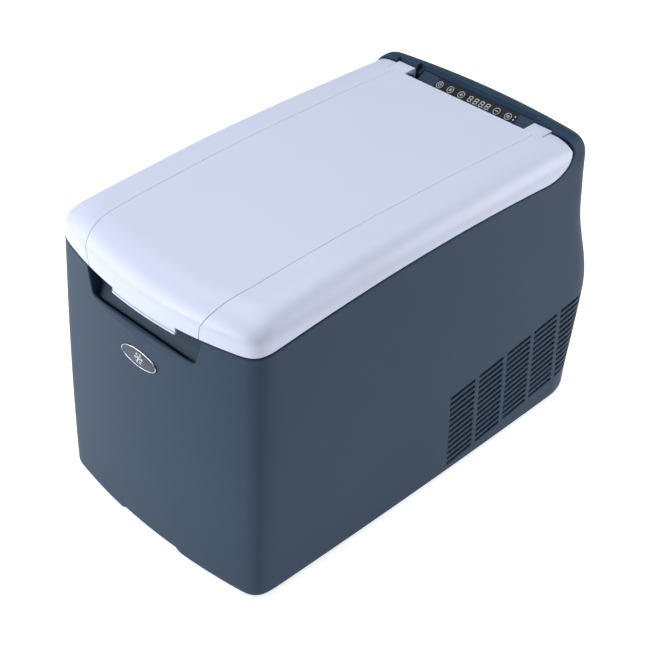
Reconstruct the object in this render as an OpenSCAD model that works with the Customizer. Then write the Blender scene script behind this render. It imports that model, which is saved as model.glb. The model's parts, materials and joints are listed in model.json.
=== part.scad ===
// Portable compressor cooler: an insulated stepped tub in a moulded body, a
// top lid hinged at the machinery end, and the cooling unit in a low bay there.
// +X points to the machinery end, +Z up, origin under the middle of the box.

/* [Body] */
// Length from the front face to the machinery bulge
body_l = 644; // [636:1:652]
// Width at the lid joint
body_w = 360; // [356:1:364]
// Height to the top of the hood
body_h = 402; // [400:1:404]
// Thickness of the body and lid mouldings
wall = 3; // [2.5:0.1:3.5]
// Height of the lid joint at the front
joint_z = 346.4; // [345.5:0.1:347.5]
// Radius along the bottom edge
foot_r = 6; // [5:1:22]

/* [Tub] */
// Inside width of the food tub
tub_w = 276; // [270:1:280]
// Inside length of the deep part
deep_l = 262; // [250:1:264]
// Inside length of the shallow part over the machinery
shallow_l = 212; // [200:1:213]
// Height of the deep floor above the ground
deep_z = 52; // [50:1:60]
// Height of the shallow floor above the ground
shallow_z = 190; // [188:1:195]
// Thickness of the tub
tub_wall = 2.5; // [2:0.1:2.5]

/* [Lid] */
// Distance of the hinge axis from the middle
hinge_x = 238; // [237.5:0.1:238.5]
// Height of the hinge axis
hinge_z = 390; // [389.8:0.1:390.2]
// Height of the crown of the lid
crown_z = 402; // [401:0.5:402]

/* [Grille] */
// Columns of slots on each side
grille_cols = 5; // [3:1:5]
// Slots in each column
grille_rows = 13; // [8:1:13]
// Height of one slot
slot_h = 4.3; // [4:0.1:4.6]

/* [Cooling unit] */
// Diameter of the compressor can
can_d = 118; // [110:1:118]
// Number of condenser fins
fin_count = 22; // [16:1:22]
// Fan blades
blade_count = 7; // [5:1:9]

/* [Hidden] */

body_blue = [0.31, 0.37, 0.43];
lid_white = [0.80, 0.83, 0.92];

half_w = body_w / 2;
front_x = -body_l / 2;
bulge_x = body_l / 2;

// Body outline: the front leans out downwards, the machinery end bulges at bulge_z
base_z = 3;                 // underside of the body, over the feet
hood_x = bulge_x - 29;      // end face of the hood on the centre line
bulge_z = 162;              // height of the bulge
hood_base_z = 310;          // where the hood face turns vertical
front_lean = 13.7;
front_bow_top = 25.9;
front_bow_base = 17.8;
end_bow = 15;
side_swell = 4.4;
side_barrel = 4;            // the ends are this much narrower per side
corner_y = 38;              // corner sizes across and along
corner_front = 44;
corner_end = 32;
corner_end_low = 18;        // the machinery end's corners are longer and rounder near the floor
end_power_low = 1.15;
corner_power = 3.2;         // superellipse exponent of the corners
cavity_foot_r = 15;         // rounding inside the body, along its floor
side_roll_z = 362;          // the side starts to roll over into the hood top here
end_roll_z = 382;

function clamp01(t) = min(max(t, 0), 1);
function ease(t) = (1 - cos(180 * clamp01(t))) / 2;
function below_top(z) = clamp01((joint_z - z) / joint_z);
function low_end(z) = clamp01((hood_base_z - z) / (hood_base_z - 40));
function corner_end_at(z) = corner_end + corner_end_low * low_end(z);
function end_power_at(z) = corner_power - end_power_low * low_end(z);
function front_at(z) = front_x + front_lean * pow(1 - below_top(z), 1.3);
function front_bow_at(z) = front_bow_top + (front_bow_base - front_bow_top) * below_top(z);
function half_w_at(z) = half_w + side_swell * (1 - pow((min(z, joint_z) - 110) / 240, 2));
function end_at(z) = z > bulge_z
    ? hood_x + 29 * ease((hood_base_z - z) / (hood_base_z - bulge_z))
    : bulge_x - 14 * (bulge_z - z) / 112;

// Corner of the outline; a = 0 lies on the side and 90 on the end face
function corner(a, power) = [pow(sin(a), 2 / power), pow(cos(a), 2 / power)];

side_steps = 10;
face_steps = 5;
corner_angles = [for (a = [8:12.333:83]) a];

// Half of a ring, from the machinery end along +Y to the front, as [x, y, end share];
// inset moves it inwards, and roll (1 to 0) shrinks the rounded margin to nothing
function half_ring(z, inset, roll) =
    let (w = half_w_at(z) - inset,
         core_y = w - corner_y,
         xe = end_at(z) - inset,
         xf = front_at(z) + inset,
         bow = front_bow_at(z),
         long_e = corner_end_at(z),
         core_e = xe - end_bow - long_e,
         core_f = xf + bow + corner_front)
    concat(
        [for (i = [0:face_steps - 1])
            let (y = core_y * (i + 0.5) / face_steps)
            [core_e + end_bow * (1 - pow(y / w, 2)) + long_e * roll, y, 1]],
        [for (i = [0:len(corner_angles) - 1])
            let (a = corner_angles[len(corner_angles) - 1 - i],
                 c = corner(a, end_power_at(z)),
                 y = core_y + corner_y * roll * c[1])
            [core_e + end_bow * (1 - pow(y / w, 2)) + long_e * roll * c[0], y, sin(a)]],
        [for (i = [0:side_steps])
            let (x = core_e + (core_f - core_e) * i / side_steps) [x, core_y + corner_y * roll, 0]],
        [for (a = corner_angles)
            let (c = corner(a, corner_power),
                 y = core_y + corner_y * roll * c[1])
            [core_f - bow * (1 - pow(y / w, 2)) - corner_front * roll * c[0], y, 0]],
        [for (i = [0:face_steps - 1])
            let (y = core_y * (face_steps - i - 0.5) / face_steps)
            [core_f - bow * (1 - pow(y / w, 2)) - corner_front * roll, y, 0]]
    );
function barrel(p) = p[1] * (1 - side_barrel / half_w * pow(p[0] / bulge_x, 2));
function mirrored(half) = concat(half, [for (i = [len(half) - 1:-1:0]) [half[i][0], -half[i][1], half[i][2]]]);
function side_ring(z, inset) = mirrored([for (p = half_ring(z, inset, 1)) [p[0], barrel(p), z]]);
// A ring in the rolled edge of the hood, a = 0 at its foot and 90 on top
function roll_ring(a) = mirrored([for (p = half_ring(joint_z, 0, cos(a)))
    let (foot = side_roll_z + (end_roll_z - side_roll_z) * p[2])
    [p[0], barrel(p), foot + (body_h - foot) * sin(a)]]);

// Solid through a stack of rings whose points mirror about y = 0
module loft(rings) {
    n = len(rings[0]);
    last = len(rings) - 1;
    points = [for (ring = rings) for (p = ring) p];
    sides = [for (k = [0:last - 1]) for (i = [0:n - 1])
        let (j = (i + 1) % n, a = k * n + i, b = k * n + j, c = a + n, d = b + n)
        each [[a, c, b], [c, d, b]]];
    caps = [for (i = [0:n / 2 - 2])
        let (j = n - 1 - i)
        each [[i, i + 1, j - 1], [i, j - 1, j],
              [last * n + j, last * n + j - 1, last * n + i + 1],
              [last * n + j, last * n + i + 1, last * n + i]]];
    polyhedron(points, concat(sides, caps), convexity = 10);
}

module box(low, high) {
    translate(low) cube(high - low);
}

// Upright block with rounded corners, from exact cylinders
module round_box(low, high, r) {
    box([low[0] + r, low[1], low[2]], [high[0] - r, high[1], high[2]]);
    box([low[0], low[1] + r, low[2]], [high[0], high[1] - r, high[2]]);
    for (x = [low[0] + r, high[0] - r])
        for (y = [low[1] + r, high[1] - r])
            translate([x, y, low[2]]) cylinder(r = r, h = high[2] - low[2], $fn = 48);
}

module y_rod(x, z, r, y0, y1) {
    translate([x, y0, z]) rotate([-90, 0, 0]) cylinder(r = r, h = y1 - y0, $fn = 48);
}

module both_sides() {
    children();
    mirror([0, 1, 0]) children();
}

// Pipe through points, with ball joints in its bends
module pipe(path, r) {
    for (i = [0:len(path) - 2]) {
        run = path[i + 1] - path[i];
        flat = norm([run[0], run[1]]);
        translate(path[i])
            rotate([0, atan2(flat, run[2]), atan2(run[1], run[0])])
                cylinder(r = r, h = norm(run), $fn = 24);
    }
    for (i = [1:len(path) - 2])
        translate(path[i]) sphere(r = r, $fn = 24);
}

// ---------------------------------------------------------------- lid joint

joint_gap = 2;
lid_end_x = hinge_x + 9;          // lid edge outside the lugs
lid_mid_x = hinge_x - 7;          // lid edge between the lugs
swoop_x = 190;                    // the joint swings up to the hood top from here
lug_in = 103;
lug_out = 132;
lug_r = 16;
lid_sweep_r = 13;                 // room for the lid's edge as it turns past the hood

function joint_at(x) =
    let (u = clamp01((x - front_x - front_lean) / 577), s = max(x - swoop_x, 0))
    joint_z + 8 * u + 18.5 * 4 * u * (1 - u) + s * s / 126;
function lid_top(x) = crown_z - (x < -20 ? 9 : 5) * pow((x + 20) / 250, 2);

joint_steps = 24;
// Everything above the joint line, seen from the side
module above_joint(drop, end_x) {
    line = [for (i = [0:joint_steps])
        let (x = front_x - 10 + (end_x - front_x + 10) * i / joint_steps) [x, joint_at(x) - drop]];
    translate([0, half_w + 20, 0]) rotate([90, 0, 0])
        linear_extrude(body_w + 40)
            polygon(concat(line, [[end_x, body_h + 20], [front_x - 10, body_h + 20]]));
}

// ---------------------------------------------------------------- body

panel_tilt = 30;                  // slope of the control panel
panel_mid = [249, 386.5];
panel_half = 15;
panel_w = 95;                     // half width of the sloped panel
hood_in_x = 262;                  // inner edge of the hood top
grip_half = 91.5;                 // half width of the grip pocket along its lip
grip_base = 314;                  // height of that lip
grip_flare = 12;                  // the pocket is this much wider per side at the lid
grip_back = front_x + 37.7;       // back of the pocket
lip_back = -302.5;                // inner side of the lip
mouth = [[-275, -172], [222, 172]];
bay_top = 165;                    // ceiling of the machinery bay
bay_x = 32;                       // front wall of the machinery bay

slot_pitch_z = 9;
slot_slope = 0.104;
col_x0 = 23.5;
col_pitch = 54.3;
slot_l = 46.5;
slot_depth = 34;
grille_base = 15.6;               // lowest slot edge, in the first column

module slot(x, z) {
    rise = slot_slope * slot_l;
    translate([x, slot_depth - half_w - 12, z]) rotate([90, 0, 0])
        linear_extrude(slot_depth)
            polygon([[0, 0], [slot_l, rise], [slot_l, rise + slot_h], [0, slot_h]]);
}

module grille() {
    for (c = [0:grille_cols - 1])
        for (r = [0:grille_rows - 1])
            slot(col_x0 + c * col_pitch,
                 grille_base + slot_slope * c * col_pitch + r * slot_pitch_z);
}

// Space in front of the sloped panel, between the lugs
module panel_recess() {
    translate([0, lug_in - 1.5, 0]) rotate([90, 0, 0])
        linear_extrude(2 * lug_in - 3)
            polygon([[230, 374], [236, 379], [hood_in_x, 394], [hood_in_x, 430], [230, 430]]);
}

// A block given in the panel's own slope: along the slope, y, and out of the face
module on_panel(low, high) {
    translate([panel_mid[0], 0, panel_mid[1]]) rotate([0, -panel_tilt, 0]) box(low, high);
}

module grip_pocket() {
    translate([front_x - 10, 0, 0]) rotate([90, 0, 90])
        linear_extrude(grip_back - front_x + 10)
            polygon([[-grip_half - grip_flare, joint_z + 5], [-grip_half, grip_base],
                     [grip_half, grip_base], [grip_half + grip_flare, joint_z + 5]]);
}

module front_notch() {
    translate([front_x - 10, 0, 0]) rotate([90, 0, 90])
        linear_extrude(60)
            polygon([[-64, -1], [-64, base_z], [-49, 12], [49, 12], [64, base_z], [64, -1]]);
}

badge_z = 275;
badge_r = 12;
badge_stretch = 2.6;
// Puts a shape on the leaning front face, its z pointing into the body
module on_badge() {
    tilt = atan((front_at(badge_z + 5) - front_at(badge_z - 5)) / 10);
    translate([front_at(badge_z), 0, badge_z]) rotate([0, 90 + tilt, 0]) children();
}

base_screw_xs = [-240, 200];      // screws that hold the base plate
base_screw_y = 144;
foot_xs = [-225, 215];            // rubber feet
foot_y = 122;
lip_root_z = 298;                 // underside of the thick lip below the grip pocket
inlet_low = [296, -60, 62];
inlet_high = [330, 60, 112];

module body_outer() {
    loft(concat(
        [for (a = [0:22.5:90]) side_ring(base_z + foot_r * (1 - cos(a)), foot_r * (1 - sin(a)))],
        [for (z = [60, 110, 162, 180, 205, 230, 260, 310, 340]) side_ring(z, 0)],
        [for (a = [0:15:75]) roll_ring(a)],
        [roll_ring(86)]));
}

// The hollow of the body, which leaves a thick lip below the grip pocket
module body_cavity() {
    difference() {
        loft(concat(
            [for (a = [20:35:90]) side_ring(base_z + 7 + cavity_foot_r * (1 - cos(a)),
                                            wall + cavity_foot_r * (1 - sin(a)))],
            [for (z = [60, 162, 200, 250, 300, 338]) side_ring(z, wall)]));
        box([front_x, -grip_half - 1, lip_root_z], [lip_back, grip_half + 1, grip_base + 1]);
    }
}

module body_shell() color(body_blue) {
    difference() {
        body_outer();
        body_cavity();
        round_box([-284, -150, -1], [266, 150, base_z + 3], 24);
        round_box([-272, -138, -1], [254, 138, 20], 18);
        round_box([mouth[0][0], mouth[0][1], 330], [mouth[1][0], mouth[1][1], 460], 30);
        box([262, -145, 330], [276, 145, 390]);
        above_joint(0, lid_end_x + joint_gap);
        panel_recess();
        on_panel([-panel_half, -panel_w - 1, -26], [panel_half, panel_w + 1, 1]);
        both_sides() y_rod(hinge_x, hinge_z, lid_sweep_r, lug_out + 1, half_w - 8);
        both_sides() y_rod(hinge_x, hinge_z, lug_r + 1.2, lug_in - 7.5, lug_out + 1.5);
        both_sides() box([234, lug_in - 7.5, 362], [hinge_x + lug_r + 1.2, lug_out + 1.5, hinge_z]);
        both_sides() box([hinge_x, lug_in - 1.6, hinge_z - 1], [hinge_x + lug_r + 1.2, lug_out + 1.5, 430]);
        grip_pocket();
        front_notch();
        on_badge() translate([0, 0, -4]) scale([1, badge_stretch, 1])
            cylinder(r = badge_r + 0.4, h = 5.3, $fn = 32);
        both_sides() grille();
        box(inlet_low, inlet_high);
        both_sides() for (x = base_screw_xs) translate([x, base_screw_y, 3]) cylinder(r = 1.8, h = 9, $fn = 16);
    }
}

module base_plate() color([0.16, 0.18, 0.2]) difference() {
    round_box([-283.5, -149.5, base_z], [265.5, 149.5, base_z + 2.6], 23.5);
    box([-300, -64, 0], [-270, 64, 14]);
    both_sides() for (x = base_screw_xs) translate([x, base_screw_y, 0]) cylinder(r = 1.7, h = 9, $fn = 24);
    both_sides() for (x = foot_xs) translate([x, foot_y, 0]) cylinder(r = 4, h = 9, $fn = 24);
    for (x = [60:14:228]) round_box([x, -60, 0], [x + 6, 60, 9], 2.9);
}

module base_screws() color("silver")
    both_sides() for (x = base_screw_xs) translate([x, base_screw_y, 0]) {
        translate([0, 0, base_z - 1.8]) cylinder(r = 3.4, h = 1.8, $fn = 32);
        translate([0, 0, base_z - 1]) cylinder(r = 1.6, h = 9, $fn = 24);
    }

module rubber_feet() color([0.1, 0.1, 0.1])
    both_sides() for (x = foot_xs) translate([x, foot_y, 0]) {
        cylinder(r = 14, h = base_z, $fn = 48);
        cylinder(r = 3.9, h = base_z + 6, $fn = 24);
    }

module badge_plate() color("silver")
    on_badge() translate([0, 0, -1.3]) scale([1, badge_stretch, 1]) cylinder(r = badge_r, h = 2.5, $fn = 64);

// Scoop in the grip pocket: a finger ledge that curves up into the back wall
scoop_x = -296.5;
scoop_z = 310;
scoop_r = 5;
module grip_insert() color(body_blue) {
    half = grip_half - 0.5;
    back = grip_back - 1.7;
    difference() {
        box([scoop_x, -half, 298], [grip_back - 0.2, half, 324.5]);
        box([scoop_x - 1, -half - 1, scoop_z], [back - scoop_r, half + 1, 330]);
        box([scoop_x - 1, -half - 1, scoop_z + scoop_r], [back, half + 1, 330]);
        y_rod(back - scoop_r, scoop_z + scoop_r, scoop_r, -half - 1, half + 1);
    }
    box([lip_back + 0.2, -half + 15, 298], [scoop_x, half - 15, 300]);
}

module latch_keeper() color("silver") difference() {
    union() {
        box([-286.4, -22, 325], [-284.4, 22, 341]);
        box([-289.6, -14, 333], [-286.4, 14, 335]);
    }
    for (y = [-18, 18]) translate([-290, y, 330]) rotate([0, 90, 0]) cylinder(r = 1.6, h = 9, $fn = 24);
}

// ---------------------------------------------------------------- tub

tub_x0 = -deep_l;                 // inside face at the front
tub_top = 344;
tub_r = 16;                       // upright corners of the tub
rim_z = 336;

module tub_form(grow, top) {
    y = tub_w / 2 + grow;
    round_box([tub_x0 - grow, -y, deep_z - grow], [grow, y, top], tub_r + grow);
    round_box([tub_x0 - grow, -y, shallow_z - grow], [shallow_l + grow, y, top], tub_r + grow);
}

module liner_tub() color("white") difference() {
    tub_form(tub_wall, tub_top);
    tub_form(0, tub_top + 5);
    translate([-150, tub_w / 2 - 1, 312]) rotate([-90, 0, 0]) cylinder(r = 5.2, h = 6, $fn = 32);
}

module tub_rim_frame() color(body_blue) difference() {
    round_box([mouth[0][0] + 0.5, mouth[0][1] + 0.5, rim_z], [mouth[1][0] - 0.5, mouth[1][1] - 0.5, tub_top], 29.5);
    tub_form(tub_wall + 0.05, tub_top + 5);
}

module foam_insulation() color([0.93, 0.87, 0.66]) difference() {
    union() {
        round_box([-281, -168, 14], [bay_x - 3, 168, rim_z - 0.5], 30);
        round_box([-281, -168, bay_top + 3], [250, 168, 329], 30);
    }
    tub_form(tub_wall + 0.1, rim_z + 5);
    box([-236, tub_w / 2 + 2, 84], [-14, tub_w / 2 + 13, 296]);
    box([-20, tub_w / 2 + 2, 92], [bay_x, tub_w / 2 + 13, 114]);
    box([222.3, -169, 320], [251, 169, 340]);
    translate([-150, tub_w / 2 + 2, 312]) rotate([-90, 0, 0]) cylinder(r = 6, h = 16, $fn = 32);
    box([-190, -158, 298], [-110, -tub_w / 2 - 2, 330]);
}

module temperature_probe() color("silver") {
    translate([-150, tub_w / 2 - 4, 312]) rotate([-90, 0, 0]) cylinder(r = 3, h = 20, $fn = 32);
    translate([-150, tub_w / 2 + 2.6, 312]) rotate([-90, 0, 0]) cylinder(r = 5.6, h = 3, $fn = 32);
}

module interior_lamp() color("white")
    box([-180, -tub_w / 2 - 12, 302], [-120, -tub_w / 2 - tub_wall - 0.1, 322]);

module lamp_lens() color([0.9, 0.95, 1])
    round_box([-176, -tub_w / 2 + 0.1, 304], [-124, -tub_w / 2 + 4, 320], 1.8);

// ---------------------------------------------------------------- lid

lid_roll_y = 38;
lid_roll_x = corner_front;
roll_len = 42;                    // length given to the rolled edge when spacing rings
lid_side_n = 22;

// Foot of the lid's rolled edge: a straight skirt shows below it at the front only
function lid_foot(x) = max(side_roll_z, joint_at(min(x, 120)) + 1.5 + 18 * pow(clamp01((-130 - x) / 180), 1.2));

// One point at share f of the way from the joint over the rolled edge; e and s are
// the shares of the roll along x and y, and inset moves the surface inwards
function lid_point(x, y_core, e, s, f, inset, drop) =
    let (foot = lid_foot(x),
         top = lid_top(x) - inset,
         low = joint_at(x) + joint_gap - drop,
         start = asin(clamp01((low - foot) / (top - foot))),
         straight = max(foot - low, 0),
         path = f * (straight + roll_len * (90 - start) / 90),
         a = path < straight ? 0 : start + (path - straight) / roll_len * 90,
         x_here = x + (1 - cos(a)) * e * (lid_roll_x - inset),
         z = path < straight ? low + path : foot + (lid_top(x_here) - inset - foot) * sin(a))
    [x_here, y_core + (lid_roll_y - inset) * cos(a) * s, z];

function lid_half(f, inset, drop) =
    let (w = half_w - 0.6 - inset, core = w - lid_roll_y + inset,
         xf = front_x + front_lean + inset + 0.4, bow = front_bow_top,
         core_f = xf + bow + corner_front)
    concat(
        [for (i = [0:lid_side_n])
            let (x = lid_end_x - inset + (core_f - lid_end_x + inset) * i / lid_side_n)
            lid_point(x, core, 0, 1, f, inset, drop)],
        [for (a = corner_angles)
            let (c = corner(a, corner_power), y = core + (lid_roll_y - inset) * c[1],
                 x = core_f - bow * (1 - pow(y / w, 2)) - corner_front * c[0])
            lid_point(x, core, c[0], c[1], f, inset, drop)],
        [for (i = [0:face_steps - 1])
            let (y = core * (face_steps - i - 0.5) / face_steps,
                 x = core_f - bow * (1 - pow(y / w, 2)) - corner_front)
            lid_point(x, y, 1, 0, f, inset, drop)]
    );
function lid_barrel(p) = [p[0], barrel(p), p[2]];

lid_levels = 11;
module lid_form(inset, drop) {
    loft([for (k = [0:lid_levels])
        mirrored([for (p = lid_half(k / lid_levels, inset, drop)) lid_barrel(p)])]);
}

module lid_outer_shell() color(lid_white) {
    difference() {
        lid_form(0, 0);
        lid_form(wall, 8);
        box([lid_mid_x, -lug_out - 1, 340], [lid_end_x + 5, lug_out + 1, 420]);
    }
    box([lid_mid_x - 3, -lug_out - 1, joint_at(lid_mid_x) + joint_gap],
        [lid_mid_x, lug_out + 1, lid_top(lid_mid_x) - 1]);
    both_sides() box([lid_mid_x - 3, lug_out + 1, 386], [lid_end_x - 1, lug_out + 4, lid_top(lid_end_x) - 1]);
}

tray_low = [-268, -166];
tray_high = [220, 166];
tray_z = 349;

module lid_inner_panel() color("white") difference() {
    union() {
        round_box([tray_low[0], tray_low[1], tray_z], [tray_high[0], tray_high[1], 368], 26);
        round_box([-240, -120, 338], [190, 120, tray_z + 1], 24);
    }
    round_box([tray_low[0] + 2, tray_low[1] + 2, tray_z + 2], [tray_high[0] - 2, tray_high[1] - 2, 380], 24);
    round_box([-238, -118, 340], [188, 118, tray_z + 5], 22);
}

module lid_foam_core() color([0.93, 0.87, 0.66]) {
    round_box([-237.5, -117.5, 340.2], [187.5, 117.5, tray_z + 3], 21.5);
    round_box([-250, -148, tray_z + 2.2], [216, 148, 386], 22);
}

module lid_gasket() color([0.3, 0.3, 0.32]) difference() {
    round_box([-264, -162, tub_top + 0.4], [216, 162, tray_z], 22);
    round_box([-254, -152, tub_top - 1], [206, 152, tray_z + 2], 14);
}

// Lugs of the lid around the hinge pins, flat on top
pin_r = 3;
module hinge_lugs() color(lid_white)
    both_sides() difference() {
        union() {
            intersection() {
                y_rod(hinge_x, hinge_z, lug_r, lug_in, lug_out);
                box([hinge_x - 6.9, lug_in, 372], [hinge_x + lug_r, lug_out, lid_top(lid_mid_x)]);
            }
            box([hinge_x - 7, lug_in, 376], [hinge_x, lug_out, lid_top(lid_mid_x)]);
        }
        y_rod(hinge_x, hinge_z, pin_r + 0.05, lug_in - 1, lug_out + 1);
    }

ear_in = 96.2;
ear_r = 5;
module hinge_brackets() color(body_blue)
    both_sides() difference() {
        union() {
            y_rod(hinge_x, hinge_z, ear_r, ear_in, lug_in - 0.6);
            box([hinge_x, ear_in, 364.2], [hinge_x + ear_r, lug_in - 0.6, hinge_z]);
            box([hinge_x - 3, ear_in, 362.2], [hinge_x + 12, lug_out - 2, 364.8]);
        }
        y_rod(hinge_x, hinge_z, pin_r, ear_in - 1, lug_in + 1);
        for (y = [112, 124]) translate([hinge_x + 5, y, 360]) cylinder(r = 2.1, h = 9, $fn = 24);
    }

module hinge_pins() color("silver")
    both_sides() y_rod(hinge_x, hinge_z, pin_r, ear_in, lug_out - 1);

module hinge_screws() color("silver")
    both_sides() for (y = [112, 124]) translate([hinge_x + 5, y, 0]) {
        translate([0, 0, 364.8]) cylinder(r = 3.4, h = 1.1, $fn = 32);
        translate([0, 0, 350]) cylinder(r = 2, h = 15.4, $fn = 24);
    }

// Latch: a flap under the lid's front edge, hung on a pin
latch_x = -298;
latch_z = 357;
latch_arm = 24;                   // half width of the flap's arm
latch_half = 56;
flap_r = 638;                     // plan radius of the lid's front
flap_back = 6.4;                  // the flap hangs this far behind that front
flap_z = 333;                     // lower edge of the flap
flap_t = 2.5;

module front_band(r0, r1, half, z0, z1) {
    translate([front_x + front_lean + flap_r, 0, 0])
        intersection() {
            difference() {
                translate([0, 0, z0]) cylinder(r = r0, h = z1 - z0, $fn = 360);
                translate([0, 0, z0 - 1]) cylinder(r = r1, h = z1 - z0 + 2, $fn = 360);
            }
            box([-r0 - 2, -half, z0 - 2], [-r1 + 20, half, z1 + 2]);
        }
}

module latch_tab() color(lid_white) difference() {
    union() {
        front_band(flap_r - flap_back, flap_r - flap_back - flap_t, latch_half, flap_z, 349.4);
        front_band(flap_r - flap_back + 1, flap_r - flap_back - 1, latch_half, flap_z, flap_z + 2.6);
        y_rod(latch_x, latch_z, 3.8, -latch_arm, latch_arm);
        box([latch_x - 2, -latch_arm, 346], [latch_x + 2, latch_arm, latch_z]);
        box([latch_x - 0.8, -10, 333.5], [latch_x + 1.6, 10, latch_z]);
        box([latch_x - 0.8, -10, 331.5], [-290.2, 10, 333.5]);
    }
    y_rod(latch_x, latch_z, 2.05, -30, 30);
}

module latch_bracket() color(lid_white) both_sides() difference() {
    box([latch_x - 3.2, latch_arm + 1, 352.6], [latch_x + 5, latch_arm + 6, 373.4]);
    y_rod(latch_x, latch_z, 2, latch_arm, 40);
}

module latch_pivot_pin() color("silver") y_rod(latch_x, latch_z, 2, -latch_arm - 6, 42);

// Turns of the return spring on the pin's long end
module latch_spring() color("silver")
    for (y = [31.5:1.4:40])
        translate([latch_x, y, latch_z]) rotate([90, 0, 0])
            rotate_extrude($fn = 32) translate([2.8, 0]) circle(r = 0.55, $fn = 16);

// ---------------------------------------------------------------- controls

button_ys = [58, 39, 20, -41, -60];
button_along = 4;
button_r = 5.8;
overlay_t = 0.8;
display_y = [-31, 12];
led_y = -69;
led_alongs = [8, 3];

module panel_cylinder(along, y, r, z0, z1) {
    translate([panel_mid[0], 0, panel_mid[1]]) rotate([0, -panel_tilt, 0])
        translate([along, y, z0]) cylinder(r = r, h = z1 - z0, $fn = 40);
}

module control_fascia() color(body_blue) difference() {
    on_panel([-panel_half + 0.4, -panel_w, -3], [panel_half - 0.4, panel_w, -overlay_t]);
    for (y = button_ys) panel_cylinder(button_along, y, button_r + 0.3, -6, 2);
    for (a = led_alongs) panel_cylinder(a, led_y, 1.1, -6, 2);
    on_panel([-2, display_y[0], -6], [11, display_y[1], 2]);
}

module control_overlay() color([0.14, 0.16, 0.18]) difference() {
    on_panel([-13, -72, -overlay_t], [panel_half - 1.5, 66, 0]);
    for (y = button_ys) panel_cylinder(button_along, y, button_r + 0.3, -6, 2);
    on_panel([-1.5, display_y[0] + 0.5, -6], [10.5, display_y[1] - 0.5, 2]);
    for (a = led_alongs) panel_cylinder(a, led_y, 1.1, -6, 2);
}

module display_module() color([0.75, 0.77, 0.8]) {
    on_panel([-1.4, display_y[0] + 0.6, -9.2], [10.4, display_y[1] - 0.6, -0.4]);
}

module control_board() color([0.1, 0.35, 0.2]) on_panel([-12, -74, -10.8], [13, 70, -9.2]);

module push_button(y) color([0.2, 0.22, 0.25]) {
    panel_cylinder(button_along, y, button_r, -2.9, 0.9);
    panel_cylinder(button_along, y, 2.2, -8.2, -2.8);
}
module button_power() push_button(button_ys[0]);
module button_mode() push_button(button_ys[1]);
module button_plus() push_button(button_ys[2]);
module button_minus() push_button(button_ys[3]);
module button_set() push_button(button_ys[4]);

module status_leds() color("green")
    for (a = led_alongs) panel_cylinder(a, led_y, 1, -9.2, -0.2);

module ribbon_cable() color([0.6, 0.6, 0.62]) {
    on_panel([-9, 30, -14], [9, 46, -13.2]);
    on_panel([-9, 30, -13.3], [-8, 46, -10.8]);
}

// ---------------------------------------------------------------- cooling unit

can_c = [120, -72];
can_r = can_d / 2;
can_z = 24;
coil_y = 138;
coil_r = 4;
coil_rows = 6;
coil_pitch = 18;
coil_z0 = 34;
coil_x = [80, 236];

// Domed half of the steel can; bulge sets how deep its end is
module can_half(h, dome) {
    rotate_extrude($fn = 96) polygon(concat(
        [[0, 0], [can_r, 0], [can_r, h - dome]],
        [for (a = [15:15:75]) [can_r * cos(a) * 0.35 + can_r * 0.65, h - dome + dome * sin(a)]],
        [[can_r * 0.65, h], [0, h]]));
}

module compressor_lower_can() color([0.08, 0.08, 0.09])
    translate([can_c[0], can_c[1], can_z + 58]) mirror([0, 0, 1]) can_half(50, 16);

module compressor_upper_can() color([0.08, 0.08, 0.09]) {
    translate([can_c[0], can_c[1], can_z + 58]) can_half(58, 22);
    translate([can_c[0], can_c[1], can_z + 56.5]) difference() {
        cylinder(r = can_r + 3, h = 3, $fn = 96);
        translate([0, 0, -1]) cylinder(r = can_r, h = 5, $fn = 96);
    }
}

module at_mounts()
    for (x = [-54, 54]) for (y = [-44, 44]) translate([can_c[0] + x, can_c[1] + y, 0]) children();

module compressor_bracket() color("silver") difference() {
    union() {
        round_box([can_c[0] - 66, can_c[1] - 56, 18], [can_c[0] + 66, can_c[1] + 56, 20.5], 10);
        translate([can_c[0], can_c[1], 20]) cylinder(r = 34, h = can_z + 8 - 20, $fn = 48);
    }
    at_mounts() translate([0, 0, 10]) cylinder(r = 6, h = 20, $fn = 32);
}

module compressor_grommets() color([0.12, 0.12, 0.12]) at_mounts() difference() {
    union() {
        translate([0, 0, base_z + 2.6]) cylinder(r = 9.5, h = 18 - base_z - 2.6, $fn = 40);
        translate([0, 0, 17.9]) cylinder(r = 5.95, h = 3, $fn = 40);
        translate([0, 0, 20.5]) cylinder(r = 8.5, h = 3.5, $fn = 40);
    }
    cylinder(r = 3.1, h = 40, $fn = 32);
}

module compressor_bolts() color("silver") at_mounts() {
    translate([0, 0, base_z + 2.6]) cylinder(r = 3, h = 24, $fn = 32);
    translate([0, 0, 24]) cylinder(r = 6, h = 4, $fn = 6);
}

module compressor_driver() color([0.13, 0.13, 0.14]) {
    box([194, -128, 30], [226, -40, 100]);
    for (y = [-124:8:-44]) box([226, y, 34], [238, y + 2, 96]);
}

function coil_row_z(i) = coil_z0 + i * coil_pitch;

module condenser_coil() color([0.72, 0.45, 0.28]) {
    for (i = [0:coil_rows - 1])
        translate([coil_x[0], coil_y, coil_row_z(i)]) rotate([0, 90, 0])
            cylinder(r = coil_r, h = coil_x[1] - coil_x[0], $fn = 32);
    for (i = [0:coil_rows - 2]) {
        right = i % 2 == 0;
        translate([right ? coil_x[1] : coil_x[0], coil_y, (coil_row_z(i) + coil_row_z(i + 1)) / 2])
            rotate([90, right ? 0 : 180, 0]) rotate([0, 0, -90])
                rotate_extrude(angle = 180, $fn = 48) translate([coil_pitch / 2, 0]) circle(r = coil_r, $fn = 32);
    }
}

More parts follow.
